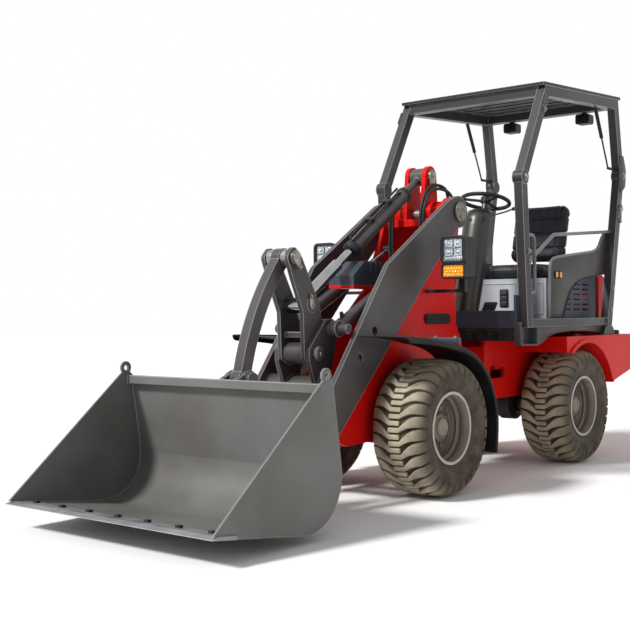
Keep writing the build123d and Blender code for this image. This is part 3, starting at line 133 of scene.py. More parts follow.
def surface(name, colour, second, cloud_mm, grain_mm, rough, spread, bump_mm, edge=None, edge_mm=3.0, dust=None,
            dust_share=0.0, dust_mm=120.0, metallic=0.0, coat=0.0, shine=0.25, crown=None, deep=None):
    """A coated or moulded surface: two tones, a grain, edges lightened as a painted highlight, and dust, at real sizes.

    crown colours a tyre's bars with dry dirt and a painted highlight, and the last colour is painted shade that darkens
    the inside of a wheel's dish.
    """
    material = bpy.data.materials.new(name)
    material.use_nodes = True
    tree = material.node_tree
    tree.nodes.clear()
    place = add(tree, "TexCoord").outputs["Object"]

    def noise(size_mm, detail):
        made = add(tree, "TexNoise", {"Vector": place, "Scale": 1 / (size_mm * MM), "Detail": detail})
        return made.outputs["Fac"]

    def ramp(value, low, high, foot=0.0, top=1.0):
        return add(tree, "MapRange", {
            "Value": value, "From Min": low, "From Max": high, "To Min": foot, "To Max": top}).outputs[0]

    def blend(share, under, over):
        return add(tree, "Mix", {0: share, MIX_A: under, MIX_B: over}, data_type="RGBA").outputs[MIX_OUT]

    cloud = noise(cloud_mm, 5.0)
    tone = blend(ramp(cloud, 0.35, 0.65), paint(colour), paint(second))
    rounded = add(tree, "Bevel", {"Radius": edge_mm * MM}, samples=4).outputs["Normal"]
    if dust:
        tone = blend(ramp(noise(dust_mm, 6.0), 0.4, 0.7, top=dust_share), tone, paint(dust))
    # Dry dirt and a painted highlight: the crown colour pales the bars, most on the crown and fading down the shoulders
    if crown:
        bars = add(tree, "Attribute", attribute_name="tread").outputs["Fac"]
        crown_dirt_and_highlight = add(tree, "Math", {0: bars, 1: ramp(cloud, 0.25, 0.6, foot=0.45)}, operation="MULTIPLY")
        tone = blend(crown_dirt_and_highlight.outputs[0], tone, paint(crown))
    # Painted shade: the colour darkens from 0.55 m to 0.51 m from the middle of the machine, inside the wheel's dish
    if deep:
        across = add(tree, "SeparateXYZ", {0: place}).outputs["Y"]
        depth = add(tree, "Math", {0: across}, operation="ABSOLUTE").outputs[0]
        tone = blend(ramp(depth, 0.55, 0.51, top=0.92), tone, paint(deep))
    # Painted highlight: the edge colour lightens edges where the bevelled normal turns from the flat one, standing in
    # for the sky caught along them
    if edge:
        flat = add(tree, "NewGeometry").outputs["Normal"]
        turn = add(tree, "VectorMath", {0: rounded, 1: flat}, operation="DOT_PRODUCT").outputs["Value"]
        tone = blend(ramp(turn, 0.99, 0.85, top=0.8), tone, paint(edge))
    relief = add(tree, "Bump", {
        "Height": noise(grain_mm, 3.0), "Distance": bump_mm * MM, "Strength": 0.6, "Normal": rounded})
    shader = add(tree, "BsdfPrincipled", {
        "Base Color": tone, "Roughness": ramp(cloud, 0.3, 0.7, rough - spread, rough + spread),
        "Normal": relief.outputs[0], "Metallic": metallic, "Coat Weight": coat, "Coat Roughness": 0.12,
        "Specular IOR Level": 0.5 if metallic > 0.5 else shine})
    add(tree, "OutputMaterial", {"Surface": shader.outputs[0]})
    return material


# Each finish: slot, colour, second tone, size of the clouds and of the grain, roughness, its spread, bump, extras; an
# edge colour among the extras is a painted highlight along the edges
FINISHES = {
    # Sprayed two-pack enamel on plate: glossy, with a faint orange peel and edges lightened as a painted highlight
    "enamel_red": ("red_paint", "red", "#CC110D", 500, 6, 0.36, 0.05, 0.15, {"edge": "#EE5A50", "shine": 0.12}),
    # Powder coat over mild steel: satin, a fine leathery peel, and a painted highlight along the edges where they would
    # catch the sky
    "powder_gunmetal": ("gunmetal_paint", "gunmetal", "#3B3637", 350, 4, 0.36, 0.06, 0.2, {
        "edge": "#D8DEE4", "edge_mm": 7, "shine": 0.4}),
    # The same powder coat on the roll frame, a shade darker and bluer
    "canopy_paint": ("gunmetal_paint", "#3A3739", "#322F31", 350, 4, 0.38, 0.06, 0.2, {
        "edge": "#CDD4DB", "edge_mm": 7, "shine": 0.3}),
    # Ribbed roof sheet in near-black powder coat
    "roof_sheet": ("gunmetal_paint", "#28282C", "#222226", 500, 4, 0.42, 0.06, 0.2, {
        "edge": "#C3CBD3", "edge_mm": 7}),
    # Brushed-on machinery grey with a painted highlight along the edges and drifts of pale dust
    "bucket_paint": ("gunmetal_paint", "bucket", "#5F5D5A", 600, 5, 0.42, 0.07, 0.12, {
        "edge": "#D2D6DA", "edge_mm": 6, "dust": "#8B8E90", "dust_share": 0.3, "dust_mm": 400, "shine": 0.35}),
    # Rolled edge bar: paint rubbed through to bright steel, with a painted highlight along the bevel
    "worn_steel": ("edge_steel", "#77797B", "#8F9193", 90, 3, 0.38, 0.1, 0.2, {
        "edge": "#D8DBDD", "edge_mm": 5, "metallic": 0.35}),
    # Cast housing under satin black chassis paint, with road dust in its pores
    "axle_black": ("axle_paint", "#1B1B1D", "#242325", 120, 5, 0.5, 0.08, 0.6, {"dust": "#5A5147", "dust_share": 0.35}),
    # Injection-moulded ABS: dark, matt, with a pebbled mould grain
    "moulded_black": ("black_plastic", "#1D1D1F", "#232326", 200, 1.6, 0.48, 0.05, 0.25, {
        "edge": "#55565A", "edge_mm": 2}),
    # Extruded polyethylene mudguard sheet: black, matt, chalky with dried mud
    "guard_rubber": ("black_plastic", "#1A1A1B", "#222122", 180, 2.5, 0.55, 0.06, 0.3, {
        "edge": "#5A5856", "dust": "#4E4842", "dust_share": 0.2, "shine": 0.12}),
    # Braided hydraulic line in a smooth black rubber cover, greyed by handling
    "hose_rubber": ("black_plastic", "#1E1E20", "#2B2B2D", 60, 2, 0.5, 0.06, 0.2, {}),
    # Rotationally moulded polyethylene: blue-grey, slightly waxy
    "moulded_blue_grey": ("blue_grey_plastic", "#3E4450", "#363B46", 300, 2, 0.42, 0.05, 0.25, {"edge": "#8A92A0"}),
    # Powder-coated sheet panel in dark grey, warm in the light
    "panel_dark": ("dark_panel", "#453F3F", "#3C3737", 300, 3, 0.4, 0.05, 0.15, {"edge": "#B4B4B6"}),
    # Vacuum-formed ABS cover in pale grey with a fine grain
    "panel_pale": ("pale_grey_panel", "#B9BCC1", "#AEB1B7", 250, 1.5, 0.45, 0.05, 0.15, {"edge": "#DADCE0"}),
    # Cast vinyl seat cover: near black with a leather-like grain about 2 mm across
    "cover_vinyl": ("seat_vinyl", "#22242A", "#1B1D22", 160, 2.2, 0.46, 0.06, 0.45, {
        "dust": "#3A3D44", "dust_share": 0.35, "dust_mm": 60}),
    # Ground and plated piston rod: mirror bright, drawn faintly along its length
    "hard_chrome": ("chrome", "#A5A7A8", "#96989A", 90, 1.2, 0.14, 0.04, 0.02, {"metallic": 1.0}),
    # Zinc-plated turned pin: pale, a little yellow, with soft tool marks
    "zinc_steel": ("pin_steel", "#9C9A90", "#878579", 40, 1.5, 0.34, 0.08, 0.06, {"metallic": 0.85}),
    # Cast iron block under thin grey paint, rough from the sand mould
    "cast_iron": ("engine_iron", "#2C2D2F", "#353638", 80, 3, 0.55, 0.08, 0.6, {}),
    # Vulcanised tread compound, scuffed brown-grey with dry dirt; the pale crown colour on the bars is dry dirt and a
    # painted highlight
    "tread_rubber": ("tyre_rubber", "rubber", "#37302A", 70, 2.5, 0.66, 0.08, 0.4, {
        "dust": "#6E6150", "dust_share": 0.5, "dust_mm": 90, "crown": "#B5A992"}),
    # Silver lacquer on a pressed steel wheel, with brown painted shade darkening the inside of its dish
    "rim_lacquer": ("rim_paint", "rim", "#A8A298", 110, 3, 0.34, 0.07, 0.1, {
        "edge": "#E2DED6", "metallic": 0.3, "deep": "#6B6052"}),
    # Clear polycarbonate over a bright reflector: the fluted cells break up the reflections
    "clear_lens": ("lamp_glass", "#DDE3E8", "#98A2AB", 22, 9, 0.12, 0.04, 1.5, {"metallic": 0.55, "coat": 1.0}),
    # Tinted acrylic indicator lens, moulded with small prisms
    "amber_acrylic": ("amber_lens", "#F08A14", "#F6B431", 14, 6, 0.18, 0.05, 1.2, {"coat": 0.8}),
    # Tinted red acrylic lens, moulded with small prisms
    "red_lens": ("red_paint", "#B3141A", "#D2322C", 14, 6, 0.18, 0.05, 1.0, {"coat": 0.8}),
    # Glossy red phenolic grip
    "knob_red": ("red_paint", "#B5131F", "#C21C28", 40, 2, 0.22, 0.04, 0.05, {"coat": 0.5}),
    # Blow-moulded column cowl: black polyethylene with a brown cast and a broad soft sheen
    "cowl_moulding": ("cowl_plastic", "#2C2823", "#24211D", 260, 2, 0.34, 0.04, 0.15, {
        "edge": "#4F4A44", "edge_mm": 4, "shine": 0.5}),
    # Bent steel tube under mid-grey enamel
    "rail_grey": ("grey_tube", "#6E6F73", "#646569", 200, 3, 0.36, 0.05, 0.1, {"coat": 0.2}),
}
# A slot's CAD nodes wear the first finish listed for it, apart from a few nodes
SLOT_FINISHES = {row[0]: look for look, row in reversed(FINISHES.items())}
NODE_FINISHES = {
    "bucket": "bucket_paint",
    "lever_pin": "powder_gunmetal",
    "rops_frame": "canopy_paint",
    "roof_panel": "roof_sheet",
}
MADE = {}


def finish(look):
    """The material of a finish, made once."""
    if look not in MADE:
        slot, *values, extras = FINISHES[look]
        MADE[look] = surface(look, *values, **extras)
    return MADE[look]


def at(x, y, z):
    """A point from its station ahead of the hinge, its y and its height, in millimetres."""
    return Vector((HINGE_X + x, y, z)) * MM


def corners(low, high, foot, top):
    """The corners of a rectangle, in order."""
    return (low, foot), (high, foot), (high, top), (low, top)


def across(x, *limits):
    """A rectangle that faces along the machine, from its limits in y and z."""
    return [at(x, y, z) for y, z in corners(*limits)]


def level(z, *limits):
    """A rectangle that lies flat, from its limits in x and y."""
    return [at(x, y, z) for x, y in corners(*limits)]


def flank(y, points):
    """Points given by station and height, at one distance from the middle."""
    return [at(x, y, z) for x, z in points]


def aim(start, end):
    """The way from one point of the side view to another, in millimetres."""
    return Vector((end[0] - start[0], 0, end[1] - start[1]))


def circle(count, start=0.0):
    """Cosine and sine of even steps round a circle."""
    turns = [start + 2 * math.pi * n / count for n in range(count)]
    return [(math.cos(turn), math.sin(turn)) for turn in turns]


def stand(point, axis):
    """A placing matrix whose Z runs along an axis."""
    return Matrix.Translation(point) @ Vector(axis).to_track_quat("Z", "Y").to_matrix().to_4x4()


def of_kind(made, kind):
    """The vertices, edges or faces among what an operator made."""
    return [g for g in made["geom"] if isinstance(g, kind)]


def orient(form):
    """Turn all faces outwards."""
    bmesh.ops.recalc_face_normals(form, faces=form.faces[:])


def extruded(form, faces, hollow=False):
    """Extrude faces and give the new vertices; a hollow shape loses the faces it started from."""
    made = of_kind(bmesh.ops.extrude_face_region(form, geom=faces), bmesh.types.BMVert)
    if hollow:
        bmesh.ops.delete(form, geom=[f for f in faces if f.is_valid], context="FACES_ONLY")
    return made


def bevel(form, geom, width, segments, affect="EDGES"):
    """Round edges or corners by a width in millimetres."""
    bmesh.ops.bevel(form, geom=geom, offset=width * MM, segments=segments, profile=0.5, affect=affect, material=-1)


def soften(form, verts, width):
    """Round the sharp edges of a shape."""
    if width:
        edges = {e for v in verts for e in v.link_edges if len(e.link_faces) == 2}
        bevel(form, [e for e in edges if e.calc_face_angle() > SHARP], width, 2)


def pour(part, form, place=None):
    """Add a finished small shape to a larger one, set in its place."""
    if place:
        bmesh.ops.transform(part, verts=part.verts[:], matrix=place)
    mesh = bpy.data.meshes.new("part")
    part.to_mesh(mesh)
    part.free()
    form.from_mesh(mesh)
    bpy.data.meshes.remove(mesh)


def stub(form, point, axis, radius, height, rim=1.5, sides=32, tip=None):
    """A round or six-sided stub that stands on a point."""
    part = bmesh.new()
    axis = Vector(axis).normalized()
    made = bmesh.ops.create_cone(
        part, cap_ends=True, segments=sides, radius1=radius * MM, radius2=(tip or radius) * MM,
        depth=height * MM, matrix=stand(point + axis * height * MM / 2, axis))
    soften(part, made["verts"], rim)
    pour(part, form)


def bolt(form, spot, axis, washer, head):
    """A hexagon head on its washer, each given by radius, height and rim."""
    stub(form, spot, axis, *washer)
    stub(form, spot + axis * washer[1] * MM, axis, *head, sides=6)


def nipple(form, spot, axis, height):
    """A grease nipple."""
    stub(form, spot, axis, 5, height, 1, sides=12, tip=3)


def block(form, size, rim, place):
    """A block with rounded edges."""
    part = bmesh.new()
    bmesh.ops.create_cube(part, size=1, matrix=Matrix.Diagonal((*(s * MM for s in size), 1)))
    soften(part, part.verts, rim)
    pour(part, form, place)


def raised(part, depth, rim):
    """Give a flat shape its thickness, a vector in millimetres, and round its edges."""
    bmesh.ops.translate(part, verts=extruded(part, part.faces[:]), vec=depth * MM)
    orient(part)
    soften(part, part.verts, rim)


def slab(form, outline, depth, rim=1.5, corner=0, band=0):
    """A plate with the outline of a few points, raised by a vector; a band leaves only its border."""
    part = bmesh.new()
    part.faces.new([part.verts.new(p) for p in outline])
    if corner:
        bevel(part, part.verts[:], corner, 6, "VERTICES")
    if band:
        inner = part.faces[:]
        bmesh.ops.inset_region(part, faces=inner, thickness=band * MM, use_even_offset=True, use_boundary=True)
        bmesh.ops.delete(part, geom=inner, context="FACES")
    raised(part, depth, rim)
    pour(part, form)


def spin(part, geom, steps):
    """Turn a line or loop all the way round the Z axis."""
    bmesh.ops.spin(part, geom=geom, cent=(0, 0, 0), axis=(0, 0, 1), angle=2 * math.pi, steps=steps, use_merge=True)


def ring(form, point, axis, radius, thick, steps=48):
    """A round bead that runs about an axis."""
    part = bmesh.new()
    bmesh.ops.create_circle(
        part, segments=8, radius=thick * MM,
        matrix=Matrix.Translation((radius * MM, 0, 0)) @ Matrix.Rotation(math.pi / 2, 4, "X"))
    spin(part, part.verts[:] + part.edges[:], steps)
    pour(part, form, stand(point, axis))


def lathe(form, point, axis, profile, steps=48):
    """A turned shape from radius and height pairs in millimetres."""
    part = bmesh.new()
    verts = [part.verts.new((r * MM, 0, h * MM)) for r, h in profile]
    spin(part, verts + [part.edges.new(pair) for pair in zip(verts, verts[1:])], steps)
    bmesh.ops.remove_doubles(part, verts=part.verts[:], dist=WELD)
    orient(part)
    pour(part, form, stand(point, axis))


def settle(made, look, body):
    """Give a new object its finish and the body that it rides on."""
    made.data.materials.append(finish(look))
    bpy.context.scene.collection.objects.link(made)
    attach(made, body)
    return made


def piece(name, form, look, body, smooth=35):
    """Turn a finished form into a piece of the loader."""
    bmesh.ops.remove_doubles(form, verts=form.verts[:], dist=WELD)
    orient(form)
    mesh = bpy.data.meshes.new(name)
    form.to_mesh(mesh)
    form.free()
    mesh.shade_smooth()
    mesh.set_sharp_from_angle(angle=math.radians(smooth))
    return settle(bpy.data.objects.new(name, mesh), look, body)


def pipe(name, points, radius, look, body):
    """A bent pipe or formed hose: a smooth curve near its control points."""
    curve = bpy.data.curves.new(name, "CURVE")
    curve.dimensions = "3D"
    curve.bevel_depth = radius * MM
    curve.bevel_resolution = 4
    curve.use_fill_caps = True
    spline = curve.splines.new("NURBS")
    spline.points.add(len(points) - 1)
    for knot, point in zip(spline.points, points):
        knot.co = (*at(*point), 1)
    spline.order_u = 3
    spline.use_endpoint_u = True
    spline.resolution_u = 8
    return settle(bpy.data.objects.new(name, curve), look, body)


class LOADER_OT_finishes(bpy.types.Operator):
    """Give every CAD node the finish of its material slot"""

    bl_idname = "loader.finishes"
    bl_label = "Surface finishes"

    def execute(self, context):
        for part in frame["record"]["subparts"]:
            node = part["node"]
            look = NODE_FINISHES.get(node, SLOT_FINISHES[part["material_slot"]])
            mesh = NODES[node].data
            mesh.materials.clear()
            mesh.materials.append(finish(look))
        return {"FINISHED"}


# Radius and distance from the middle plane, from bead to crown, along the groove floors
TYRE_SKIN = (
    (200, 124), (204, 131), (212, 137), (219, 139.5), (223, 137.5), (240, 150), (262, 158.5), (266, 161.5),
    (271, 162), (276, 162.5), (290, 166), (310, 168.5), (328, 164), (343, 153), (356, 137), (366, 114),
    (372, 84), (375, 50), (376, 0))
# Run round the tread, crown radius and distance, foot radius and distance, half width, share of the crown colour, dry
# dirt and a painted highlight
TYRE_BAR = (
    (-24, 393.5, -36, 370, -36, 13, 1.0), (-24, 393.5, 32, 370, 32, 13, 1.0), (-8, 392.5, 54, 370, 54, 17, 1.0),
    (14, 390.5, 86, 368, 84, 23.5, 0.95), (26, 385.5, 116, 362, 111, 28.5, 0.75),
    (30, 375, 143, 352, 133, 31.5, 0.5), (33, 359, 160, 342, 147, 32, 0.25), (35, 338, 169.5, 328, 159, 30, 0.1),
    (36, 314, 171, 308, 164, 24, 0.0))
TYRE_BARS = 32
# How far a bar's foot spreads beyond its crown on each side
BAR_SPREAD = 4


def bar_point(along, row, top):
    """A point of a bar: across its width, on one row along it, at its foot or its crown."""
    run, crown_r, crown_y, foot_r, foot_y, half = row[:-1]
    radius, off, wide = (crown_r, crown_y, half) if top else (foot_r, foot_y, half + BAR_SPREAD)
    angle = -math.pi / 2 + (run + along * wide) / TYRE_RADIUS
    return Vector((radius * math.cos(angle), -off, radius * math.sin(angle))) * MM


def tread_bars(form):
    """Lay one bar out of a strip and copy it round both halves of the tread."""
    bar = bmesh.new()
    rise = bar.verts.layers.float.new("tread")
    last = len(TYRE_BAR) - 1
    bmesh.ops.create_grid(bar, x_segments=1, y_segments=last, size=1)
    top = set(extruded(bar, bar.faces[:], hollow=True))
    for vert in bar.verts:
        row = TYRE_BAR[round((vert.co.y + 1) / 2 * last)]
        vert[rise] = row[-1] if vert in top else 0.0
        vert.co = bar_point(vert.co.x, row, vert in top)
    orient(bar)
    soften(bar, bar.verts, 3)
    for flip, lag in ((1, 0), (-1, 0.5)):
        for n in range(TYRE_BARS):
            copy = bar.copy()
            if flip < 0:
                bmesh.ops.reverse_faces(copy, faces=copy.faces[:])
            turn = Matrix.Rotation(-2 * math.pi * (n + lag) / TYRE_BARS, 4, "Y")
            pour(copy, form, turn @ Matrix.Diagonal((1, flip, 1, 1)))
    bar.free()


def tyres():
    """One tyre, built about its own axle and copied to the four wheels."""
    form = bmesh.new()
    form.verts.layers.float.new("tread")
    tread_bars(form)
    line = [*TYRE_SKIN, *((r, -y) for r, y in reversed(TYRE_SKIN[:-1]))]
    lathe(form, Vector((0, 0, 0)), ASIDE, line, steps=128)
    for name, station, sign in WHEELS:
        copy = form.copy()
        bmesh.ops.translate(copy, verts=copy.verts[:], vec=at(station, sign * WHEEL_Y, TYRE_RADIUS))
        tyre = piece("tread_" + name, copy, "tread_rubber", "wheel_" + name)
        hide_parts("tyre_" + name)
    form.free()


class LOADER_OT_tyres(bpy.types.Operator):
    """Lugged flotation tyres with moulded sidewalls"""

    bl_idname = "loader.tyres"
    bl_label = "Tyres"

    def execute(self, context):
        tyres()
        return {"FINISHED"}


NUTS = 8
NUT_CIRCLE = 118
DISC_Y = 454.5
HUB_Y = 506.5
HUB_CAP = ((58, 0), (58, 5), (54, 9), (40, 12), (38, 9), (0, 9))


def wheel_nuts():
    """Nuts on their washers and studs, the hub's cap and the valve stem of each wheel."""
    for name, station, sign in WHEELS:
        form = bmesh.new()
        out = ASIDE * sign
        for run, rise in circle(NUTS, math.pi / NUTS):
            spot = at(station + NUT_CIRCLE * run, sign * DISC_Y, TYRE_RADIUS + NUT_CIRCLE * rise)
            bolt(form, spot, out, (21, 4, 1), (16, 15, 2))
            stub(form, spot + out * 18 * MM, out, 8, 10, 1, sides=16)
        lathe(form, at(station, sign * HUB_Y, TYRE_RADIUS), out, HUB_CAP)
        valve = at(station - 120, sign * (DISC_Y - 1), TYRE_RADIUS + 118)
        stub(form, valve, (-0.4, sign, 0.4), 6, 34, 1, sides=16)
        piece("wheel_nuts_" + name, form, "rim_lacquer", "wheel_" + name)


class LOADER_OT_wheel_fittings(bpy.types.Operator):
    """Wheel nuts, hub caps and valve stems"""

    bl_idname = "loader.wheel_fittings"
    bl_label = "Wheel fittings"

    def execute(self, context):
        wheel_nuts()
        return {"FINISHED"}


PAD_VOXEL = 6
SWELL_FRAMES = 20
PRESSURE = 4
SWELL = 12
SEAM = 8
SEAM_DEPTH = 9
SEAM_FLANK = 158
CUSHION = (-1105, 0, 1345)
BACK = (-1368, 0, 1640)
BACK_LEAN = -13.6


def pad(name, centre, lean, size, corner):
    """Swell a rounded block into a pad with pressure cloth, capped so that it stays in its place."""
    form = bmesh.new()
    bmesh.ops.create_cube(form, size=1, matrix=Matrix.Diagonal((*(s * MM for s in size), 1)))
    thin = size.index(min(size))
    upright = [e for e in form.edges if abs((e.verts[0].co - e.verts[1].co)[thin]) > WELD]
    bevel(form, upright, 2.6 * corner, 6)
    soften(form, form.verts, corner)
    bmesh.ops.transform(form, verts=form.verts[:], matrix=Matrix.Translation(centre) @ lean)
    cover = piece(name, form, "cover_vinyl", REAR, smooth=180)
    remesh = cover.modifiers.new("even", "REMESH")
    remesh.mode = "VOXEL"
    remesh.voxel_size = PAD_VOXEL * MM
    bake(cover)
    swell(cover)
    return cover


def swell(cover):
    """Blow the cover up for a few frames and hold back what moves too far."""
    rest = [v.co.copy() for v in cover.data.vertices]
    cloth = cover.modifiers.new("fill", "CLOTH").settings
    cloth.use_pressure = True
    cloth.uniform_pressure_force = PRESSURE
    cloth.effector_weights.gravity = 0
    for n in range(1, SWELL_FRAMES + 1):
        bpy.context.scene.frame_set(n)
    bake(cover)
    bpy.context.scene.frame_set(1)
    for vert, start in zip(cover.data.vertices, rest):
        move = vert.co - start
        if move.length > SWELL * MM:
            vert.co = start + move.normalized() * SWELL * MM


def bake(cover):
    """Bake the modifiers into the pad's mesh."""
    graph = bpy.context.evaluated_depsgraph_get()
    mesh = bpy.data.meshes.new_from_object(cover.evaluated_get(graph))
    cover.modifiers.clear()
    cover.data = mesh
    mesh.shade_smooth()


def channels(cover, along, middle, places):
    """Sew channels across a pad: the cover dips along each seam."""
    normals = [v.normal.copy() for v in cover.data.vertices]
    for vert, normal in zip(cover.data.vertices, normals):
        place = (vert.co.dot(along) - middle) / MM
        dip = sum(math.exp(-((place - spot) / SEAM) ** 2) for spot in places)
        flank_dip = math.exp(-((abs(vert.co.y) / MM - SEAM_FLANK) / SEAM) ** 2)
        vert.co -= normal * SEAM_DEPTH * min(1, dip + flank_dip) * MM


def seat():
    """Cushion and back in place of the CAD seat."""
    cushion = pad("seat_pad", at(*CUSHION), Matrix.Identity(4), (424, 474, 82), 30)
    channels(cushion, AHEAD, at(*CUSHION).x, (-90, 50))
    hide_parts("seat_cushion")
    lean = Matrix.Rotation(math.radians(BACK_LEAN), 4, "Y")
    back = pad("seat_back_pad", at(*BACK), lean, (78, 462, 456), 28)
    channels(back, UP, at(*BACK).z, (-110, 5, 120))
    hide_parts("seat_back")


class LOADER_OT_seat(bpy.types.Operator):
    """Padded seat cushion and back with sewn channels"""

    bl_idname = "loader.seat"
    bl_label = "Seat"

    def execute(self, context):
        seat()
        return {"FINISHED"}


# Name, body, pin, outer face, radius, way to the keeper's bolt
KEEPERS = (
    ("keepers_lever_top", "lever", LINK_TOP, 110, 32, (-22, -50)),
    ("keepers_rod_eye", "lever", ROD_EYE, 97.5, 28, (15, 46)),
    ("keepers_tower", FRONT, TOWER_PIN, 89, 40, (14, -66)),
)
KEEPER_THICK = 6
# Washer and head: radius, height and rim
SMALL_BOLT = ((13, 3, 0.8), (10, 8, 1))
SHAFT_FACE = 301
SHAFT_BOLTS = 3
# Name and body of a pin, its place and its outer face
PIN_ENDS = (("bucket_pins", BUCKET_PIVOT, 332), ("lever_pin", LEVER_PIVOT, 138))
PIN_CAP = ((36, 0), (36, 3), (32, 5), (14, 5), (12, 3), (0, 3))


def keeper(form, spot, y, sign, radius, tail):
    """A teardrop plate over a pin's end, with its bolt at the narrow end and a grease nipple."""
    part = bmesh.new()
    made = bmesh.ops.create_circle(part, cap_ends=True, segments=40, radius=radius * MM)
    for vert in made["verts"]:
        share = max(0.0, vert.co.normalized().x) ** 5
        vert.co.x += share * (math.hypot(*tail) - radius * 0.35) * MM
        vert.co.y *= 1 - 0.25 * share
    raised(part, UP * KEEPER_THICK, 1.2)
    face_out = Matrix.Rotation(math.pi * (1 + sign / 2), 4, "X")
    turn = Matrix.Rotation(-math.atan2(tail[1], tail[0]), 4, "Y") @ face_out
    end = at(spot[0], sign * y, spot[1])
    pour(part, form, Matrix.Translation(end) @ turn)
    out = ASIDE * sign
    top = end + out * KEEPER_THICK * MM
    bolt(form, top + Vector((tail[0], 0, tail[1])) * MM, out, *SMALL_BOLT)
    nipple(form, top, out, 9)


def pin_fittings():
    """Keepers, the bolted caps of the boom shaft and greased pin ends."""
    for name, body, pin, face, radius, tail in KEEPERS:
        form = bmesh.new()
        for sign in SIDES:
            keeper(form, pin, face, sign, radius, tail)
        piece(name, form, "zinc_steel", body)
    form = bmesh.new()
    for sign in SIDES:
        end = at(BOOM_PIVOT[0], sign * SHAFT_FACE, BOOM_PIVOT[1])
        ring(form, end, ASIDE * sign, 55, 3)
        for run, rise in circle(SHAFT_BOLTS, 0.5):
            bolt(form, end + Vector((run, 0, rise)) * 34 * MM, ASIDE * sign, *SMALL_BOLT)
    piece("boom_shaft_bolts", form, "zinc_steel", FRONT)
    for name, pin, face in PIN_ENDS:
        form = bmesh.new()
        for sign in SIDES:
            out = ASIDE * sign
            end = at(pin[0], sign * face, pin[1])
            lathe(form, end, out, PIN_CAP)
            nipple(form, end + out * 3 * MM, out, 12)
        piece(name + "_ends", form, "zinc_steel", name)


class LOADER_OT_linkage(bpy.types.Operator):
    """Pin keepers, bolts and grease nipples of the loader linkage"""

    bl_idname = "loader.linkage"
    bl_label = "Linkage fittings"

    def execute(self, context):
        pin_fittings()
        return {"FINISHED"}


BUCKET_EAR = (2186, 762)
BUCKET_HALF = 700
# Where the bucket's floor starts, and its rise and run from there
FLOOR_START = (2334, 44)
FLOOR_RISE, FLOOR_RUN = 84, 626
FLOOR_THICK = 16
BOLT_ROW = 2848
BOLT_YS = range(-600, 601, 200)
BOLT_SIZE = (26, 26, 12)
# Station and height along the seam of shell and side plate
WELD_LINE = ((2800, 117), (2560, 85), (2345, 56), (2190, 88), (2098, 190), (2083, 310), (2112, 500), (2145, 690))


def bucket_fittings():
    """Edge bolts, bushes in the ears and fillet welds along the side plates."""
    form = bmesh.new()
    slope = math.atan2(FLOOR_RISE, FLOOR_RUN)
    up = Vector((-math.sin(slope), 0, math.cos(slope)))
    start, height = FLOOR_START
    for y in BOLT_YS:
        spot = at(BOLT_ROW, y, height + (BOLT_ROW - start) * FLOOR_RISE / FLOOR_RUN + FLOOR_THICK)
        middle = spot + up * BOLT_SIZE[2] / 2 * MM
        block(form, BOLT_SIZE, 2, Matrix.Translation(middle) @ Matrix.Rotation(-slope, 4, "Y"))
    piece("edge_bolts", form, "axle_black", "bucket")
    form = bmesh.new()
    for sign in SIDES:
        for y in (BUCKET_HALF, BUCKET_HALF - 10):
            ring(form, at(BUCKET_EAR[0], sign * y, BUCKET_EAR[1]), ASIDE * sign, 17, 3)
    piece("ear_bushes", form, "zinc_steel", "bucket")
    for name, sign in NAMED_SIDES:
        bead = [(x, sign * (BUCKET_HALF - 10), z) for x, z in WELD_LINE]
        pipe("bucket_weld_" + name, bead, 4.5, "bucket_paint", "bucket")


class LOADER_OT_bucket_fittings(bpy.types.Operator):
    """Bolt heads along the cutting edge, ear bushes and weld beads"""

    bl_idname = "loader.bucket_fittings"
    bl_label = "Bucket fittings"

    def execute(self, context):
        bucket_fittings()
        return {"FINISHED"}


TILT_GLAND = 910
GLAND_NUT = ((46, 0), (51, 2), (51, 34), (47, 40), (38, 41), (36, 44), (26.5, 44))
END_CAP = ((46, -6), (50, -4), (50, 22), (46, 26))
CLAMPS = (420, 640)
# Name, distance from the middle, then distance along the cylinder and rise above its axis
TILT_PIPES = (
    ("near", 20, ((880, 50), (700, 57), (420, 57), (300, 57), (285, 40))),
    ("far", -20, ((250, 57), (560, 57), (800, 57), (845, 56), (850, 40))),
)
LIFT_NUT = ((38, 0), (43, 2), (43, 28), (40, 33), (30, 33), (28, 36), (23, 36))
# From the lift rod's eye back to the end of its barrel
LIFT_ROD = 370
# Name, distance from the middle, how far the bend stands behind and above the cross tube
TOWER_LINES = (("outer", 126, 112, 1842), ("inner", 104, 134, 1868))
# How far the lines close in on the valve bank
TOWER_DRAW = 54
ARM_PIPE_Y = 242
ARM_PIPE_RISES = (0, 26)
ARM_PIPE = ((560, 1545), (700, 1421), (900, 1243), (1150, 1005), (1330, 838), (1420, 745))
ARM_RUN = Vector((0.748, 0, -0.664))
ARM_CLIPS = ((640, 1488), (900, 1256), (1200, 971))


def tilt_lines():
    """Gland nut, end cap, clamps and the two feed pipes of the tilt cylinder."""
    run = aim(TOWER_PIN, ROD_EYE).normalized()
    up = Vector((-run.z, 0, run.x))

    def along(distance, rise, y):
        return tuple(Vector((TOWER_PIN[0], y, TOWER_PIN[1])) + run * distance + up * rise)

    form = bmesh.new()
    lathe(form, at(*along(TILT_GLAND - 38, 0, 0)), run, GLAND_NUT)
    lathe(form, at(*along(232, 0, 0)), run, END_CAP)
    for distance in CLAMPS:
        for y in (20, -20):
            stub(form, at(*along(distance, 40, y)), up, 13, 12, 2, sides=16)
        place = stand(at(*along(distance, 57, 0)), up) @ Matrix.Rotation(math.pi / 2, 4, "Z")
        block(form, (30, 70, 22), 4, place)
    piece("tilt_gland", form, "moulded_black", "tilt_barrel")
    for name, y, route in TILT_PIPES:
        pipe("tilt_pipe_" + name, [along(*step, y) for step in route], 7, "hose_rubber", "tilt_barrel")


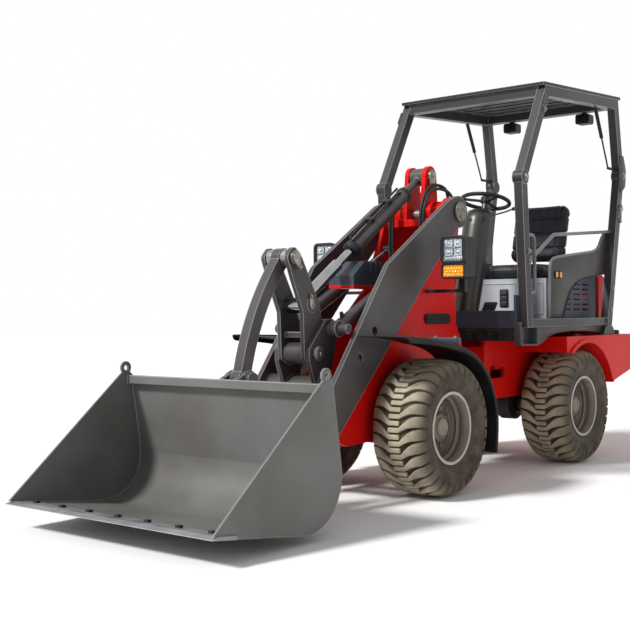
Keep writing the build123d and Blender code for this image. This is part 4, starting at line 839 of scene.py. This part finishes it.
def lift_ports():
    """Gland nuts and elbow ports of the lift cylinders."""
    way = aim(LIFT_HEAD, LIFT_FOOT)
    gland = way.length - LIFT_ROD
    run = way.normalized()
    up = Vector((run.z, 0, -run.x))
    form = bmesh.new()
    for sign in SIDES:
        foot = at(LIFT_HEAD[0], sign * LIFT_Y, LIFT_HEAD[1])
        lathe(form, foot + run * (gland - 30) * MM, run, LIFT_NUT)
        for distance in (80, gland - 60):
            spot = foot + (run * distance + up * 34) * MM
            stub(form, spot, up, 14, 16, 2, sides=16)
            stub(form, spot + up * 14 * MM, up, 11, 16, 1.5, sides=6)
    piece("lift_glands", form, "moulded_black", "lift_barrels")


def tower_lines():
    """Formed lines that rise behind the tower and drop to the valve bank."""
    form = bmesh.new()
    for name, y, back, top in TOWER_LINES:
        bends = ((208, 1622, 0), (170, 1622, 0), (back, 1660, 0), (back, top - 40, 0), (210, top, 0),
                 (370, top - 8, 0), (462, 1720, 0), (470, 1560, 0), (470, 1400, 0), (500, 1290, 40),
                 (560, 1275, TOWER_DRAW), (622, 1275, TOWER_DRAW))
        for side, sign in NAMED_SIDES:
            route = [(x, sign * (y - draw), z) for x, z, draw in bends]
            pipe(f"tower_line_{name}_{side}", route, 10, "hose_rubber", FRONT)
            stub(form, at(205, sign * y, 1622), -AHEAD, 15, 26, 2, sides=6)
            stub(form, at(580, sign * (y - TOWER_DRAW), 1275), AHEAD, 14, 40, 2, sides=6)
    piece("tower_line_fittings", form, "zinc_steel", FRONT)


def arm_lines():
    """Pipes clipped to the inside of each arm, from the tower to the lever's brackets."""
    over = Vector((-ARM_RUN.z, 0, ARM_RUN.x))
    for side, sign in NAMED_SIDES:
        for n, rise in enumerate(ARM_PIPE_RISES):
            route = [(x, sign * ARM_PIPE_Y, z + rise) for x, z in ARM_PIPE]
            pipe(f"arm_pipe_{side}_{n}", route, 8, "hose_rubber", "boom")
        form = bmesh.new()
        for x, z in ARM_CLIPS:
            spot = at(x, sign * 255, z)
            outline = [spot + (ARM_RUN * a + over * b) * MM for a, b in corners(-18, 18, -24, 28)]
            slab(form, outline, ASIDE * -26 * sign, 3, corner=6)
        piece("arm_clips_" + side, form, "moulded_black", "boom")


class LOADER_OT_hydraulics(bpy.types.Operator):
    """Gland nuts, ports, steel pipes, formed hose lines and their clamps"""

    bl_idname = "loader.hydraulics"
    bl_label = "Hydraulic fittings"

    def execute(self, context):
        tilt_lines()
        lift_ports()
        tower_lines()
        arm_lines()
        return {"FINISHED"}


LENS_X = 696
BEZEL_X = 689
# Limits of a headlight's body in y and z, and the line between lamp and indicator
LAMP_BODY = (400, 560, 1250, 1498)
LAMP_SPLIT = (1336, 1340)
LAMP_CELL = ((23, 0), (21, 2), (11, 0.5), (9, 5), (5, 8), (0, 8.5))
PRISM = ((8.5, 0), (7.5, 2.5), (4, 4.5), (0, 5))
MARKER_XS = (-606, -664)
MARKER_Z = 1302
# Inner face, half width and half height, depth, rim and corner of a marker's bezel and lens
MARKER_PARTS = ((498, 21, 26, 6, 1.5, 8), (503, 14, 19, 7, 2, 6))
WORK_LAMP = (258, 352)
FINS = 6
# Name, distance from the middle and finish of the tail lamps
TAIL_LAMPS = (("tail", 500, "red_lens"), ("turn", 395, "amber_acrylic"))
TAIL_X, TAIL_Z = -1650, 770
TAIL_BEZEL = ((46, 0), (46, 8), (43, 12), (39, 12), (39, 4), (0, 4))
TAIL_LENS = ((38, 4), (38, 9), (33, 15), (18, 18), (0, 19))


def headlights():
    """Bezels, four round cells and a row of small ones in each lamp, and prisms in the indicators."""
    bezel, cells, prisms = bmesh.new(), bmesh.new(), bmesh.new()
    low, high, foot, top = LAMP_BODY
    for sign in SIDES:
        inner, outer = sorted((sign * low, sign * high))
        slab(bezel, across(BEZEL_X, inner - 4, outer + 4, LAMP_SPLIT[0], top + 4), AHEAD * 17.6, 4, corner=30, band=19)
        slab(bezel, across(BEZEL_X, inner - 2, outer + 2, foot - 2, LAMP_SPLIT[1]), AHEAD * 14.3, 3, corner=20, band=13)
        middle = (inner + outer) / 2
        for y in (middle - 31, middle + 31):
            for z in (1456, 1404):
                slab(bezel, across(LENS_X - 1, y - 30, y + 30, z - 25, z + 25), AHEAD * 3, 0.8, corner=6, band=2.5)
                lathe(cells, at(LENS_X, y, z), AHEAD, LAMP_CELL, steps=24)
        for n in range(5):
            y = middle - 57 + 23 * n
            slab(cells, across(LENS_X, y, y + 18, 1359, 1374), AHEAD * 4, 1, corner=3)
        for row, shift in enumerate((-5, 5, -5, 5)):
            for n in range(6):
                lathe(prisms, at(LENS_X, middle - 50 + shift + 20 * n, 1270 + 18 * row), AHEAD, PRISM, steps=10)
    piece("lamp_bezels", bezel, "moulded_black", FRONT)
    piece("lamp_cells", cells, "clear_lens", FRONT)
    piece("indicator_prisms", prisms, "amber_acrylic", FRONT)


def markers():
    """Small side marker lamps on the hoop panels."""
    bezel, lens = bmesh.new(), bmesh.new()
    for sign in SIDES:
        for x in MARKER_XS:
            for form, (y, wide, tall, depth, rim, corner) in zip((bezel, lens), MARKER_PARTS):
                outline = flank(sign * y, corners(x - wide, x + wide, MARKER_Z - tall, MARKER_Z + tall))
                slab(form, outline, ASIDE * depth * sign, rim, corner)
    piece("marker_bezels", bezel, "moulded_black", REAR)
    piece("marker_lenses", lens, "amber_acrylic", REAR)


def work_lamps():
    """Lenses and cooling fins of the lamps under the roof."""
    lens, fins = bmesh.new(), bmesh.new()
    for sign in SIDES:
        low, high = sorted(sign * y for y in WORK_LAMP)
        slab(lens, across(-1541, low, high, 2473, 2531), AHEAD * -5, 2, corner=10)
        slab(fins, across(-1540, low - 6, high + 6, 2466, 2538), AHEAD * -10, 2, corner=14, band=9)
        for n in range(FINS):
            y = low + 8 + n * 15.5
            slab(fins, across(-1460, y, y + 5, 2474, 2530), AHEAD * 14, 1)
    piece("work_lamp_lenses", lens, "clear_lens", REAR)
    piece("work_lamp_fins", fins, "moulded_black", REAR)


def tail_lamps():
    """Round tail and turn lamps on the counterweight."""
    for name, y, look in TAIL_LAMPS:
        lens, bezel = bmesh.new(), bmesh.new()
        for sign in SIDES:
            lathe(bezel, at(TAIL_X, sign * y, TAIL_Z), -AHEAD, TAIL_BEZEL)
            lathe(lens, at(TAIL_X, sign * y, TAIL_Z), -AHEAD, TAIL_LENS)
        piece(name + "_lamp_bezels", bezel, "moulded_black", REAR)
        piece(name + "_lamp_lenses", lens, look, REAR)


class LOADER_OT_lamps(bpy.types.Operator):
    """Lamp bezels, light cells, prisms, marker, work and tail lamps"""

    bl_idname = "loader.lamps"
    bl_label = "Lamps"

    def execute(self, context):
        headlights()
        markers()
        work_lamps()
        tail_lamps()
        return {"FINISHED"}


# Radius and height of the column's cowl from the floor up, its foot and how far it leans per unit of height
COWL = ((0, 0), (88, 0), (90, 160), (97, 434), (103, 660), (103, 716), (96, 746), (78, 770), (50, 782), (0, 786))
COWL_FOOT = (-232, 0, 988)
COWL_LEAN = -0.285
# Angle of each screw well round the cowl, their height on it and distance from its middle
COWL_SCREWS = (0, 50, -50, 110, -110)
SCREW_HEIGHT, SCREW_CIRCLE = 700, 99
COLUMN_AXIS = Vector((-30, 0, 118)).normalized()
COLUMN_TOP = (-505, 0, 1712)
POD_AT = (-506, 0, 1716)
WHEEL_HUB = (-535, 0, 1830)
WHEEL_CAP = ((36, -2), (36, 4), (32, 9), (20, 12), (0, 13))
POD = ((58, -30), (60, -6), (56, 14), (42, 34), (30, 44), (26, 46))
STALK = ((-510, 66, 1726), (-520, 120, 1736), (-545, 170, 1752), (-562, 196, 1764))
STALK_GRIP = ((7, 0), (12, 4), (13, 30), (14, 52), (12, 62), (6, 67), (0, 68))
LEVER_FOOT = (-900, -360, 1420)
LEVER_BOOT = ((54, 0), (54, 4), *((50 - 4.2 * n - (0 if n % 2 else 5), 6 + 8 * n) for n in range(8)), (15, 70))
LEVER_GRIP = ((15, 118), (24, 122), (29, 140), (31, 165), (29, 188), (20, 202), (8, 207), (0, 208))
SEAT_BOX_X = -860
FLOOR_Z = 990
MAT_RIBS = 10
PEDAL_YS = (-190, 150)
PEDAL_RIBS = 6


def cowl():
    """Round moulded cowl that leans back to the wheel, with the collar and its screw wells."""
    lean = Matrix.Translation(at(*COWL_FOOT))
    lean[0][2] = COWL_LEAN
    form, wells = bmesh.new(), bmesh.new()
    lathe(form, Vector((0, 0, 0)), UP, COWL, steps=64)
    for turn in COWL_SCREWS:
        out = Vector((math.cos(math.radians(turn)), math.sin(math.radians(turn)), 0))
        stub(wells, (out * SCREW_CIRCLE + UP * SCREW_HEIGHT) * MM, out, 13, 5.5, 1, sides=24)
    for part in (form, wells):
        bmesh.ops.transform(part, verts=part.verts[:], matrix=lean)
    stub(form, at(*COLUMN_TOP) - COLUMN_AXIS * 20 * MM, COLUMN_AXIS, 24, 128)
    shell = piece("column_cowl", form, "cowl_moulding", REAR)
    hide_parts("steering_column")
    piece("cowl_screws", wells, "moulded_black", REAR)


def column():
    """Wheel cap, switch pod and shuttle stalk of the steering column."""
    form = bmesh.new()
    lathe(form, at(*WHEEL_HUB) + COLUMN_AXIS * 22 * MM, COLUMN_AXIS, WHEEL_CAP)
    piece("wheel_cap", form, "moulded_black", "steering_wheel")
    form = bmesh.new()
    lathe(form, at(*POD_AT), COLUMN_AXIS, POD)
    for sign in SIDES:
        stub(form, at(-508, sign * 40, 1722), (-0.1, sign, 0.12), 15, 36, 4, sides=20)
    piece("column_pod", form, "moulded_black", REAR)
    pipe("shuttle_stalk", STALK, 6, "rail_grey", REAR)
    form = bmesh.new()
    lathe(form, at(-560, 193, 1762), (-17, 26, 12), STALK_GRIP, steps=24)
    piece("stalk_grip", form, "moulded_black", REAR)


def lever():
    """Boot and red grip of the loader lever on the console."""
    for name, profile, look in (("boot", LEVER_BOOT, "guard_rubber"), ("grip", LEVER_GRIP, "knob_red")):
        form = bmesh.new()
        lathe(form, at(*LEVER_FOOT), (20, 0, 140), profile, steps=32)
        piece("lever_" + name, form, look, REAR)


def switch_panel():
    """Key panel and cover seams on the front of the seat box."""
    form, keys, seams = bmesh.new(), bmesh.new(), bmesh.new()
    slab(form, across(SEAT_BOX_X, -70, 0, 1085, 1215), AHEAD * 8, 2, corner=8)
    for foot in (1096, 1134, 1172):
        slab(keys, across(SEAT_BOX_X + 7, -58, -12, foot, foot + 30), AHEAD * 8, 2, corner=4)
    for low, high in ((-270, 60), (80, 280)):
        slab(seams, across(SEAT_BOX_X, low, high, 1030, 1262), AHEAD * 4, 1, corner=14, band=10)
    piece("key_panel", form, "moulded_black", REAR)
    piece("key_switches", keys, "panel_dark", REAR)
    piece("cover_seams", seams, "panel_pale", REAR)


def cab_floor():
    """Ribbed rubber mat and pedal pads."""
    form = bmesh.new()
    slab(form, level(FLOOR_Z, -490, -130, -410, 410), UP * 6, 2, corner=20)
    for n in range(MAT_RIBS):
        x = -470 + 35 * n
        for low, high in ((-395, -95), (95, 395)):
            slab(form, level(FLOOR_Z + 5, x, x + 12, low, high), UP * 5, 1.5)
    piece("floor_mat", form, "guard_rubber", REAR)
    form = bmesh.new()
    rise = Vector((-100, 0, 120)).normalized()
    out = Vector((120, 0, 100)).normalized()
    for y in PEDAL_YS:
        for n in range(PEDAL_RIBS):
            spot = at(-150, y + 5, FLOOR_Z + 2) + rise * (24 + 20 * n) * MM
            slab(form, [spot + (ASIDE * a + rise * b) * MM for a, b in corners(0, 80, 0, 10)], out * 6, 1.5)
    piece("pedal_ribs", form, "guard_rubber", REAR)


class LOADER_OT_cab(bpy.types.Operator):
    """Controls and trim of the operator's station"""

    bl_idname = "loader.cab"
    bl_label = "Cab fittings"

    def execute(self, context):
        cowl()
        column()
        lever()
        switch_panel()
        cab_floor()
        return {"FINISHED"}


POST_Y = 560
KNEE_Y = 566
KNEES = ((-45, 1910), (-1590, 2060))
# Station and height of bolts on the outside of each post
POST_BOLTS = ((-101, 1440), (-110, 1372), (-330, 2380), (-1380, 1060), (-1412, 1215))
# Thickness, rim and corner of the knee cheek, lock plate and head plate, then station and height round each
PLATES = (
    (8, 2, 18, ((-1640, 1985), (-1652, 2110), (-1606, 2216), (-1546, 2208), (-1536, 2060), (-1560, 1930))),
    (7, 2, 16, ((-1568, 1700), (-1572, 1880), (-1500, 1900), (-1480, 1760))),
    (6, 1.5, 8, ((-352, 2476), (-300, 2390), (-268, 2408), (-318, 2496))),
)


def roll_frame():
    """Bolts, plates and pull pins on the outside of the posts."""
    bolts, plates, pins = bmesh.new(), bmesh.new(), bmesh.new()
    for sign in SIDES:
        out = ASIDE * sign
        for spot in flank(sign * KNEE_Y, KNEES):
            bolt(bolts, spot, out, (26, 4, 1), (19, 14, 2))
        for spot in flank(sign * POST_Y, POST_BOLTS):
            bolt(bolts, spot, out, (17, 3, 0.8), (12, 9, 1.5))
        for thick, rim, corner, points in PLATES:
            slab(plates, flank(sign * POST_Y, points), out * thick, rim, corner)
        ring(pins, at(-1524, sign * 580, 1812), (0.3, sign, 0.2), 20, 3, steps=28)
        stub(pins, at(-1524, sign * 564, 1830), out, 9, 26, 2, sides=16)
    piece("post_bolts", bolts, "zinc_steel", REAR)
    piece("knee_plates", plates, "canopy_paint", REAR)
    piece("lock_pins", pins, "zinc_steel", REAR)


class LOADER_OT_roll_frame(bpy.types.Operator):
    """Hinge bolts, lock pins and post plates of the folding roll frame"""

    bl_idname = "loader.roll_frame"
    bl_label = "Roll frame fittings"

    def execute(self, context):
        roll_frame()
        return {"FINISHED"}


# Station and height round the skirt, its inner and outer face, and the foothold's two ends, rim and depth
SKIRT = ((-34, 986), (-34, 848), (-50, 834), (-275, 829), (-350, 850), (-430, 884), (-557, 906), (-789, 915),
         (-1060, 908), (-1290, 892), (-1290, 986))
SKIRT_Y = (480, 532)
FOOTHOLD = (-52, -270)
FOOTHOLD_RIM, FOOTHOLD_DEPTH = 12, 70
# Station and height along a mudguard's outer edge, then each step across it and its draw towards the hub
GUARD = ((1418, 926), (1332, 922), (1224, 915), (1042, 895), (872, 867), (740, 834), (672, 803), (603, 757),
         (510, 661), (452, 551), (420, 429), (430, 287), (444, 211))
GUARD_IN = 312
GUARD_STEPS = ((14, 1.0), (270, 1.0), (22, 0.995), (10, 0.98), (0, 0.97), (-6, 0.99))
GUARD_SHEET = 8
GUARD_BAR = ((800, 866), (862, 872), (862, 908), (800, 906))
# Station and height round a hoop panel, whose first points carry the tube along its front and top
HOOP_BACK = 12
HOOP = ((-512, 992), (-522, 1200), (-528, 1345), (-543, 1392), (-588, 1415), (-680, 1428), (-900, 1452),
        (-1150, 1476), (-1262, 1492), (-1318, 1524), (-1372, 1590), (-1420, 1630), (-1488, 1640), (-1488, 1325),
        (-1300, 1315), (-1066, 1289), (-930, 1255), (-845, 1205), (-780, 1125), (-735, 1050), (-702, 992))
GROMMET_Z = 1011
HANDLE = ((-1578, -80, 930), (-1606, -78, 930), (-1612, -60, 930), (-1612, 60, 930), (-1606, 78, 930),
          (-1578, 80, 930))
FILLER = (-1500, 520)
FILLER_CAP = ((46, 0), (46, 8), (42, 10), (42, 26), (38, 31), (0, 32))
FILLER_RIBS = 12


def grommets():
    """Long rubber grommets where the lines leave the front frame."""
    form, holes = bmesh.new(), bmesh.new()
    for sign in SIDES:
        outline = flank(sign * 225, corners(328, 616, GROMMET_Z - 32, GROMMET_Z + 32))
        slab(form, outline, ASIDE * 12 * sign, 4, corner=31)
        for n in range(5):
            ring(holes, at(376 + 48 * n, sign * 237, GROMMET_Z), ASIDE * sign, 15, 3.5, steps=24)
    piece("grommets", form, "guard_rubber", FRONT)
    piece("grommet_lips", holes, "moulded_black", FRONT)


def guards():
    """Bent polyethylene mudguards with a rolled outer lip."""
    hub = at(AXLE, 0, TYRE_RADIUS)
    for name, sign in NAMED_SIDES:
        form = bmesh.new()
        row = [form.verts.new(p) for p in flank(sign * GUARD_IN, GUARD)]
        strip = [form.edges.new(pair) for pair in zip(row, row[1:])]
        for step, draw in GUARD_STEPS:
            made = bmesh.ops.extrude_edge_only(form, edges=strip)
            strip = of_kind(made, bmesh.types.BMEdge)
            row = of_kind(made, bmesh.types.BMVert)
            bmesh.ops.translate(form, verts=row, vec=ASIDE * step * sign * MM)
            bmesh.ops.scale(form, verts=row, vec=(draw, 1, draw), space=Matrix.Translation(-hub))
        guard = piece("guard_sheet_" + name, form, "guard_rubber", FRONT, smooth=60)
        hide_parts("mudguard_" + name)
        bend = guard.modifiers.new("bend", "SUBSURF")
        bend.levels = bend.render_levels = 2
        sheet = guard.modifiers.new("sheet", "SOLIDIFY")
        sheet.thickness = GUARD_SHEET * MM
        sheet.offset = 0


def guard_bars():
    """Channel bars that carry the front mudguards, bolted through the sheet."""
    form, bolts = bmesh.new(), bmesh.new()
    for sign in SIDES:
        slab(form, flank(sign * 225, GUARD_BAR), ASIDE * 370 * sign, 6)
        for y in (300, 440, 570):
            bolt(bolts, at(831, sign * y, 906), UP, (13, 3, 0.8), (9, 7, 1))
    piece("guard_bars", form, "moulded_blue_grey", FRONT)
    piece("guard_bar_bolts", bolts, "zinc_steel", FRONT)


def hoops():
    """Pressed hoop panels beside the seat, with a raised rim and a tube round the edge."""
    for name, sign in NAMED_SIDES:
        form = bmesh.new()
        slab(form, flank(sign * 482, HOOP), ASIDE * 14 * sign, 2)
        slab(form, flank(sign * 480, HOOP), ASIDE * 21 * sign, 4, band=14)
        panel = piece("hoop_panel_" + name, form, "panel_dark", REAR)
        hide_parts("side_panel_" + name)
        edge = [(x, sign * 492, z) for x, z in HOOP[:HOOP_BACK]]
        pipe("hoop_tube_" + name, edge, 10, "rail_grey", REAR)


def apron():
    """A dark rubber flap that hangs from the front of the platform, bolted through a steel strip; it also stands in as
    painted shade under the fascia.
    """
    form, strip = bmesh.new(), bmesh.new()
    slab(form, across(-52, -474, 474, 862, 950), AHEAD * 8, 2)
    for y in range(-444, 445, 74):
        slab(form, across(-45, y - 9, y + 9, 866, 920), AHEAD * 6, 2)
    slab(strip, across(-45, -470, 470, 926, 950), AHEAD * 5, 1)
    for y in range(-420, 421, 140):
        stub(strip, at(-40, y, 938), AHEAD, 9, 6, 1, sides=6)
    piece("platform_apron_and_shade", form, "guard_rubber", REAR)
    piece("apron_strip", strip, "axle_black", REAR)


def skirts():
    """Moulded skirts under the platform, each with a foothold pressed into it."""
    inner, outer = SKIRT_Y
    low, high = sorted(at(x, 0, 0).x for x in FOOTHOLD)
    for name, sign in NAMED_SIDES:
        form = bmesh.new()
        slab(form, flank(sign * inner, SKIRT), ASIDE * (outer - inner) * sign, 0)
        for x in FOOTHOLD:
            bmesh.ops.bisect_plane(form, geom=form.verts[:] + form.edges[:] + form.faces[:], plane_co=at(x, 0, 0),
                                   plane_no=AHEAD)
        form.normal_update()
        middles = {f: f.calc_center_median() for f in form.faces if abs(f.normal.y) > 0.9}
        face = [f for f, m in middles.items() if abs(m.y) > (inner + outer) / 2 * MM and low < m.x < high]
        bmesh.ops.inset_region(form, faces=face, thickness=FOOTHOLD_RIM * MM, use_even_offset=True)
        well = extruded(form, face, hollow=True)
        bmesh.ops.translate(form, verts=well, vec=ASIDE * -FOOTHOLD_DEPTH * sign * MM)
        orient(form)
        soften(form, form.verts, 4)
        skirt = piece("step_skirt_" + name, form, "panel_dark", REAR)
        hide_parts("step_box_" + name)


def rear_fittings():
    """Hood handle, filler cap and the counterweight's bolts."""
    pipe("hood_handle", HANDLE, 7, "moulded_black", "hood")
    form = bmesh.new()
    for y in (-80, 80):
        stub(form, at(-1580, y, 930), -AHEAD, 16, 6, 1.5, sides=24)
    piece("hood_handle_feet", form, "moulded_black", "hood")
    form = bmesh.new()
    lathe(form, at(*FILLER, 880), UP, FILLER_CAP)
    for run, side in circle(FILLER_RIBS):
        stub(form, at(FILLER[0] + 41 * run, FILLER[1] + 41 * side, 891), UP, 5, 16, 1.5, sides=12)
    piece("filler_cap", form, "moulded_black", REAR)
    form = bmesh.new()
    for sign in SIDES:
        for z in (690, 830):
            bolt(form, at(TAIL_X, sign * 280, z), -AHEAD, (24, 4, 1), (17, 12, 2))
    piece("weight_bolts", form, "zinc_steel", REAR)


class LOADER_OT_body_trim(bpy.types.Operator):
    """Grommets, mudguards and their bars, hoop panels, a dark rubber flap that also stands in as painted shade, step
    skirts and rear fittings
    """

    bl_idname = "loader.body_trim"
    bl_label = "Body trim"

    def execute(self, context):
        grommets()
        guards()
        guard_bars()
        hoops()
        apron()
        skirts()
        rear_fittings()
        return {"FINISHED"}


class LOADER_OT_stage(bpy.types.Operator):
    """Pale floor, soft studio light and the camera"""

    bl_idname = "loader.stage"
    bl_label = "Stage"

    CAMERA_AT = (5.4129, 3.7464, 1.0573)
    YAW, PITCH, ROLL = 218.7254, -0.1459, -0.4007
    SENSOR = 36
    FAR = 200
    FLOOR_HALF = 40
    FLOOR_ROUGH = 0.9
    KEY_FROM = (0.8, -0.3, 0.8)
    KEY_SPREAD = 10

    def execute(self, context):
        stage = context.scene.loader_stage
        self.floor(context.scene, stage)
        self.lights(context.scene, stage)
        self.camera(context.scene, stage)
        context.scene.view_settings.view_transform = "Standard"
        return {"FINISHED"}

    def floor(self, scene, stage):
        form = bmesh.new()
        bmesh.ops.create_grid(form, x_segments=1, y_segments=1, size=self.FLOOR_HALF)
        mesh = bpy.data.meshes.new("floor")
        form.to_mesh(mesh)
        form.free()
        floor = bpy.data.objects.new("floor", mesh)
        scene.collection.objects.link(floor)
        material = bpy.data.materials.new("studio_floor")
        material.use_nodes = True
        shader = material.node_tree.nodes["Principled BSDF"]
        shader.inputs["Base Color"].default_value = (*stage.floor, 1.0)
        shader.inputs["Roughness"].default_value = self.FLOOR_ROUGH
        mesh.materials.append(material)

    def lights(self, scene, stage):
        key = bpy.data.lights.new("key", "SUN")
        key.energy = stage.key
        key.angle = math.radians(self.KEY_SPREAD)
        lamp = bpy.data.objects.new("key", key)
        lamp.rotation_euler = Vector(self.KEY_FROM).to_track_quat("Z", "Y").to_euler()
        scene.collection.objects.link(lamp)
        world = bpy.data.worlds.new("studio")
        world.use_nodes = True
        scene.world = world
        tree = world.node_tree
        tree.nodes.clear()
        ray = add(tree, "LightPath")
        seen = ray.outputs["Is Camera Ray"]
        for kind in ("Is Glossy Ray", "Is Transmission Ray"):
            seen = add(tree, "Math", {0: seen, 1: ray.outputs[kind]}, operation="MAXIMUM").outputs[0]
        strength = add(tree, "MapRange", {"Value": seen, "To Min": stage.fill, "To Max": 1.0})
        sky = add(tree, "Background", {"Color": (1, 1, 1, 1), "Strength": strength.outputs[0]})
        add(tree, "OutputWorld", {"Surface": sky.outputs[0]})

    def camera(self, scene, stage):
        data = bpy.data.cameras.new("camera")
        data.sensor_width = self.SENSOR
        data.lens = stage.lens
        data.clip_end = self.FAR
        camera = bpy.data.objects.new("camera", data)
        scene.collection.objects.link(camera)
        turn = (Matrix.Rotation(math.radians(self.YAW - 90), 4, "Z")
                @ Matrix.Rotation(math.radians(90 + self.PITCH), 4, "X")
                @ Matrix.Rotation(math.radians(self.ROLL), 4, "Z"))
        camera.matrix_world = Matrix.Translation(self.CAMERA_AT) @ turn
        scene.camera = camera


class LOADER_PT_panel(bpy.types.Panel):
    """The loader's dressing steps and settings"""

    bl_idname = "LOADER_PT_panel"
    bl_label = "Loader"
    bl_space_type = "VIEW_3D"
    bl_region_type = "UI"
    bl_category = "Loader"

    def draw(self, context):
        for operator in OPERATORS:
            self.layout.operator(operator.bl_idname)
        for group in (context.scene.loader_colours, context.scene.loader_stage):
            for name in group.__annotations__:
                self.layout.prop(group, name)


OPERATORS = (
    LOADER_OT_finishes,
    LOADER_OT_tyres,
    LOADER_OT_wheel_fittings,
    LOADER_OT_seat,
    LOADER_OT_linkage,
    LOADER_OT_bucket_fittings,
    LOADER_OT_hydraulics,
    LOADER_OT_lamps,
    LOADER_OT_cab,
    LOADER_OT_roll_frame,
    LOADER_OT_body_trim,
    LOADER_OT_stage,
)
GROUPS = (LoaderColours, LoaderStage)


def register():
    for kind in (*GROUPS, *OPERATORS, LOADER_PT_panel):
        bpy.utils.register_class(kind)
    bpy.types.Scene.loader_colours = PointerProperty(type=LoaderColours)
    bpy.types.Scene.loader_stage = PointerProperty(type=LoaderStage)


def unregister():
    del bpy.types.Scene.loader_stage
    del bpy.types.Scene.loader_colours
    for kind in reversed((*GROUPS, *OPERATORS, LOADER_PT_panel)):
        bpy.utils.unregister_class(kind)


def main():
    register()
    bpy.ops.loader.finishes()
    bpy.ops.loader.tyres()
    bpy.ops.loader.wheel_fittings()
    bpy.ops.loader.seat()
    bpy.ops.loader.linkage()
    bpy.ops.loader.bucket_fittings()
    bpy.ops.loader.hydraulics()
    bpy.ops.loader.lamps()
    bpy.ops.loader.cab()
    bpy.ops.loader.roll_frame()
    bpy.ops.loader.body_trim()
    bpy.ops.loader.stage()


if __name__ == "__main__":
    main()
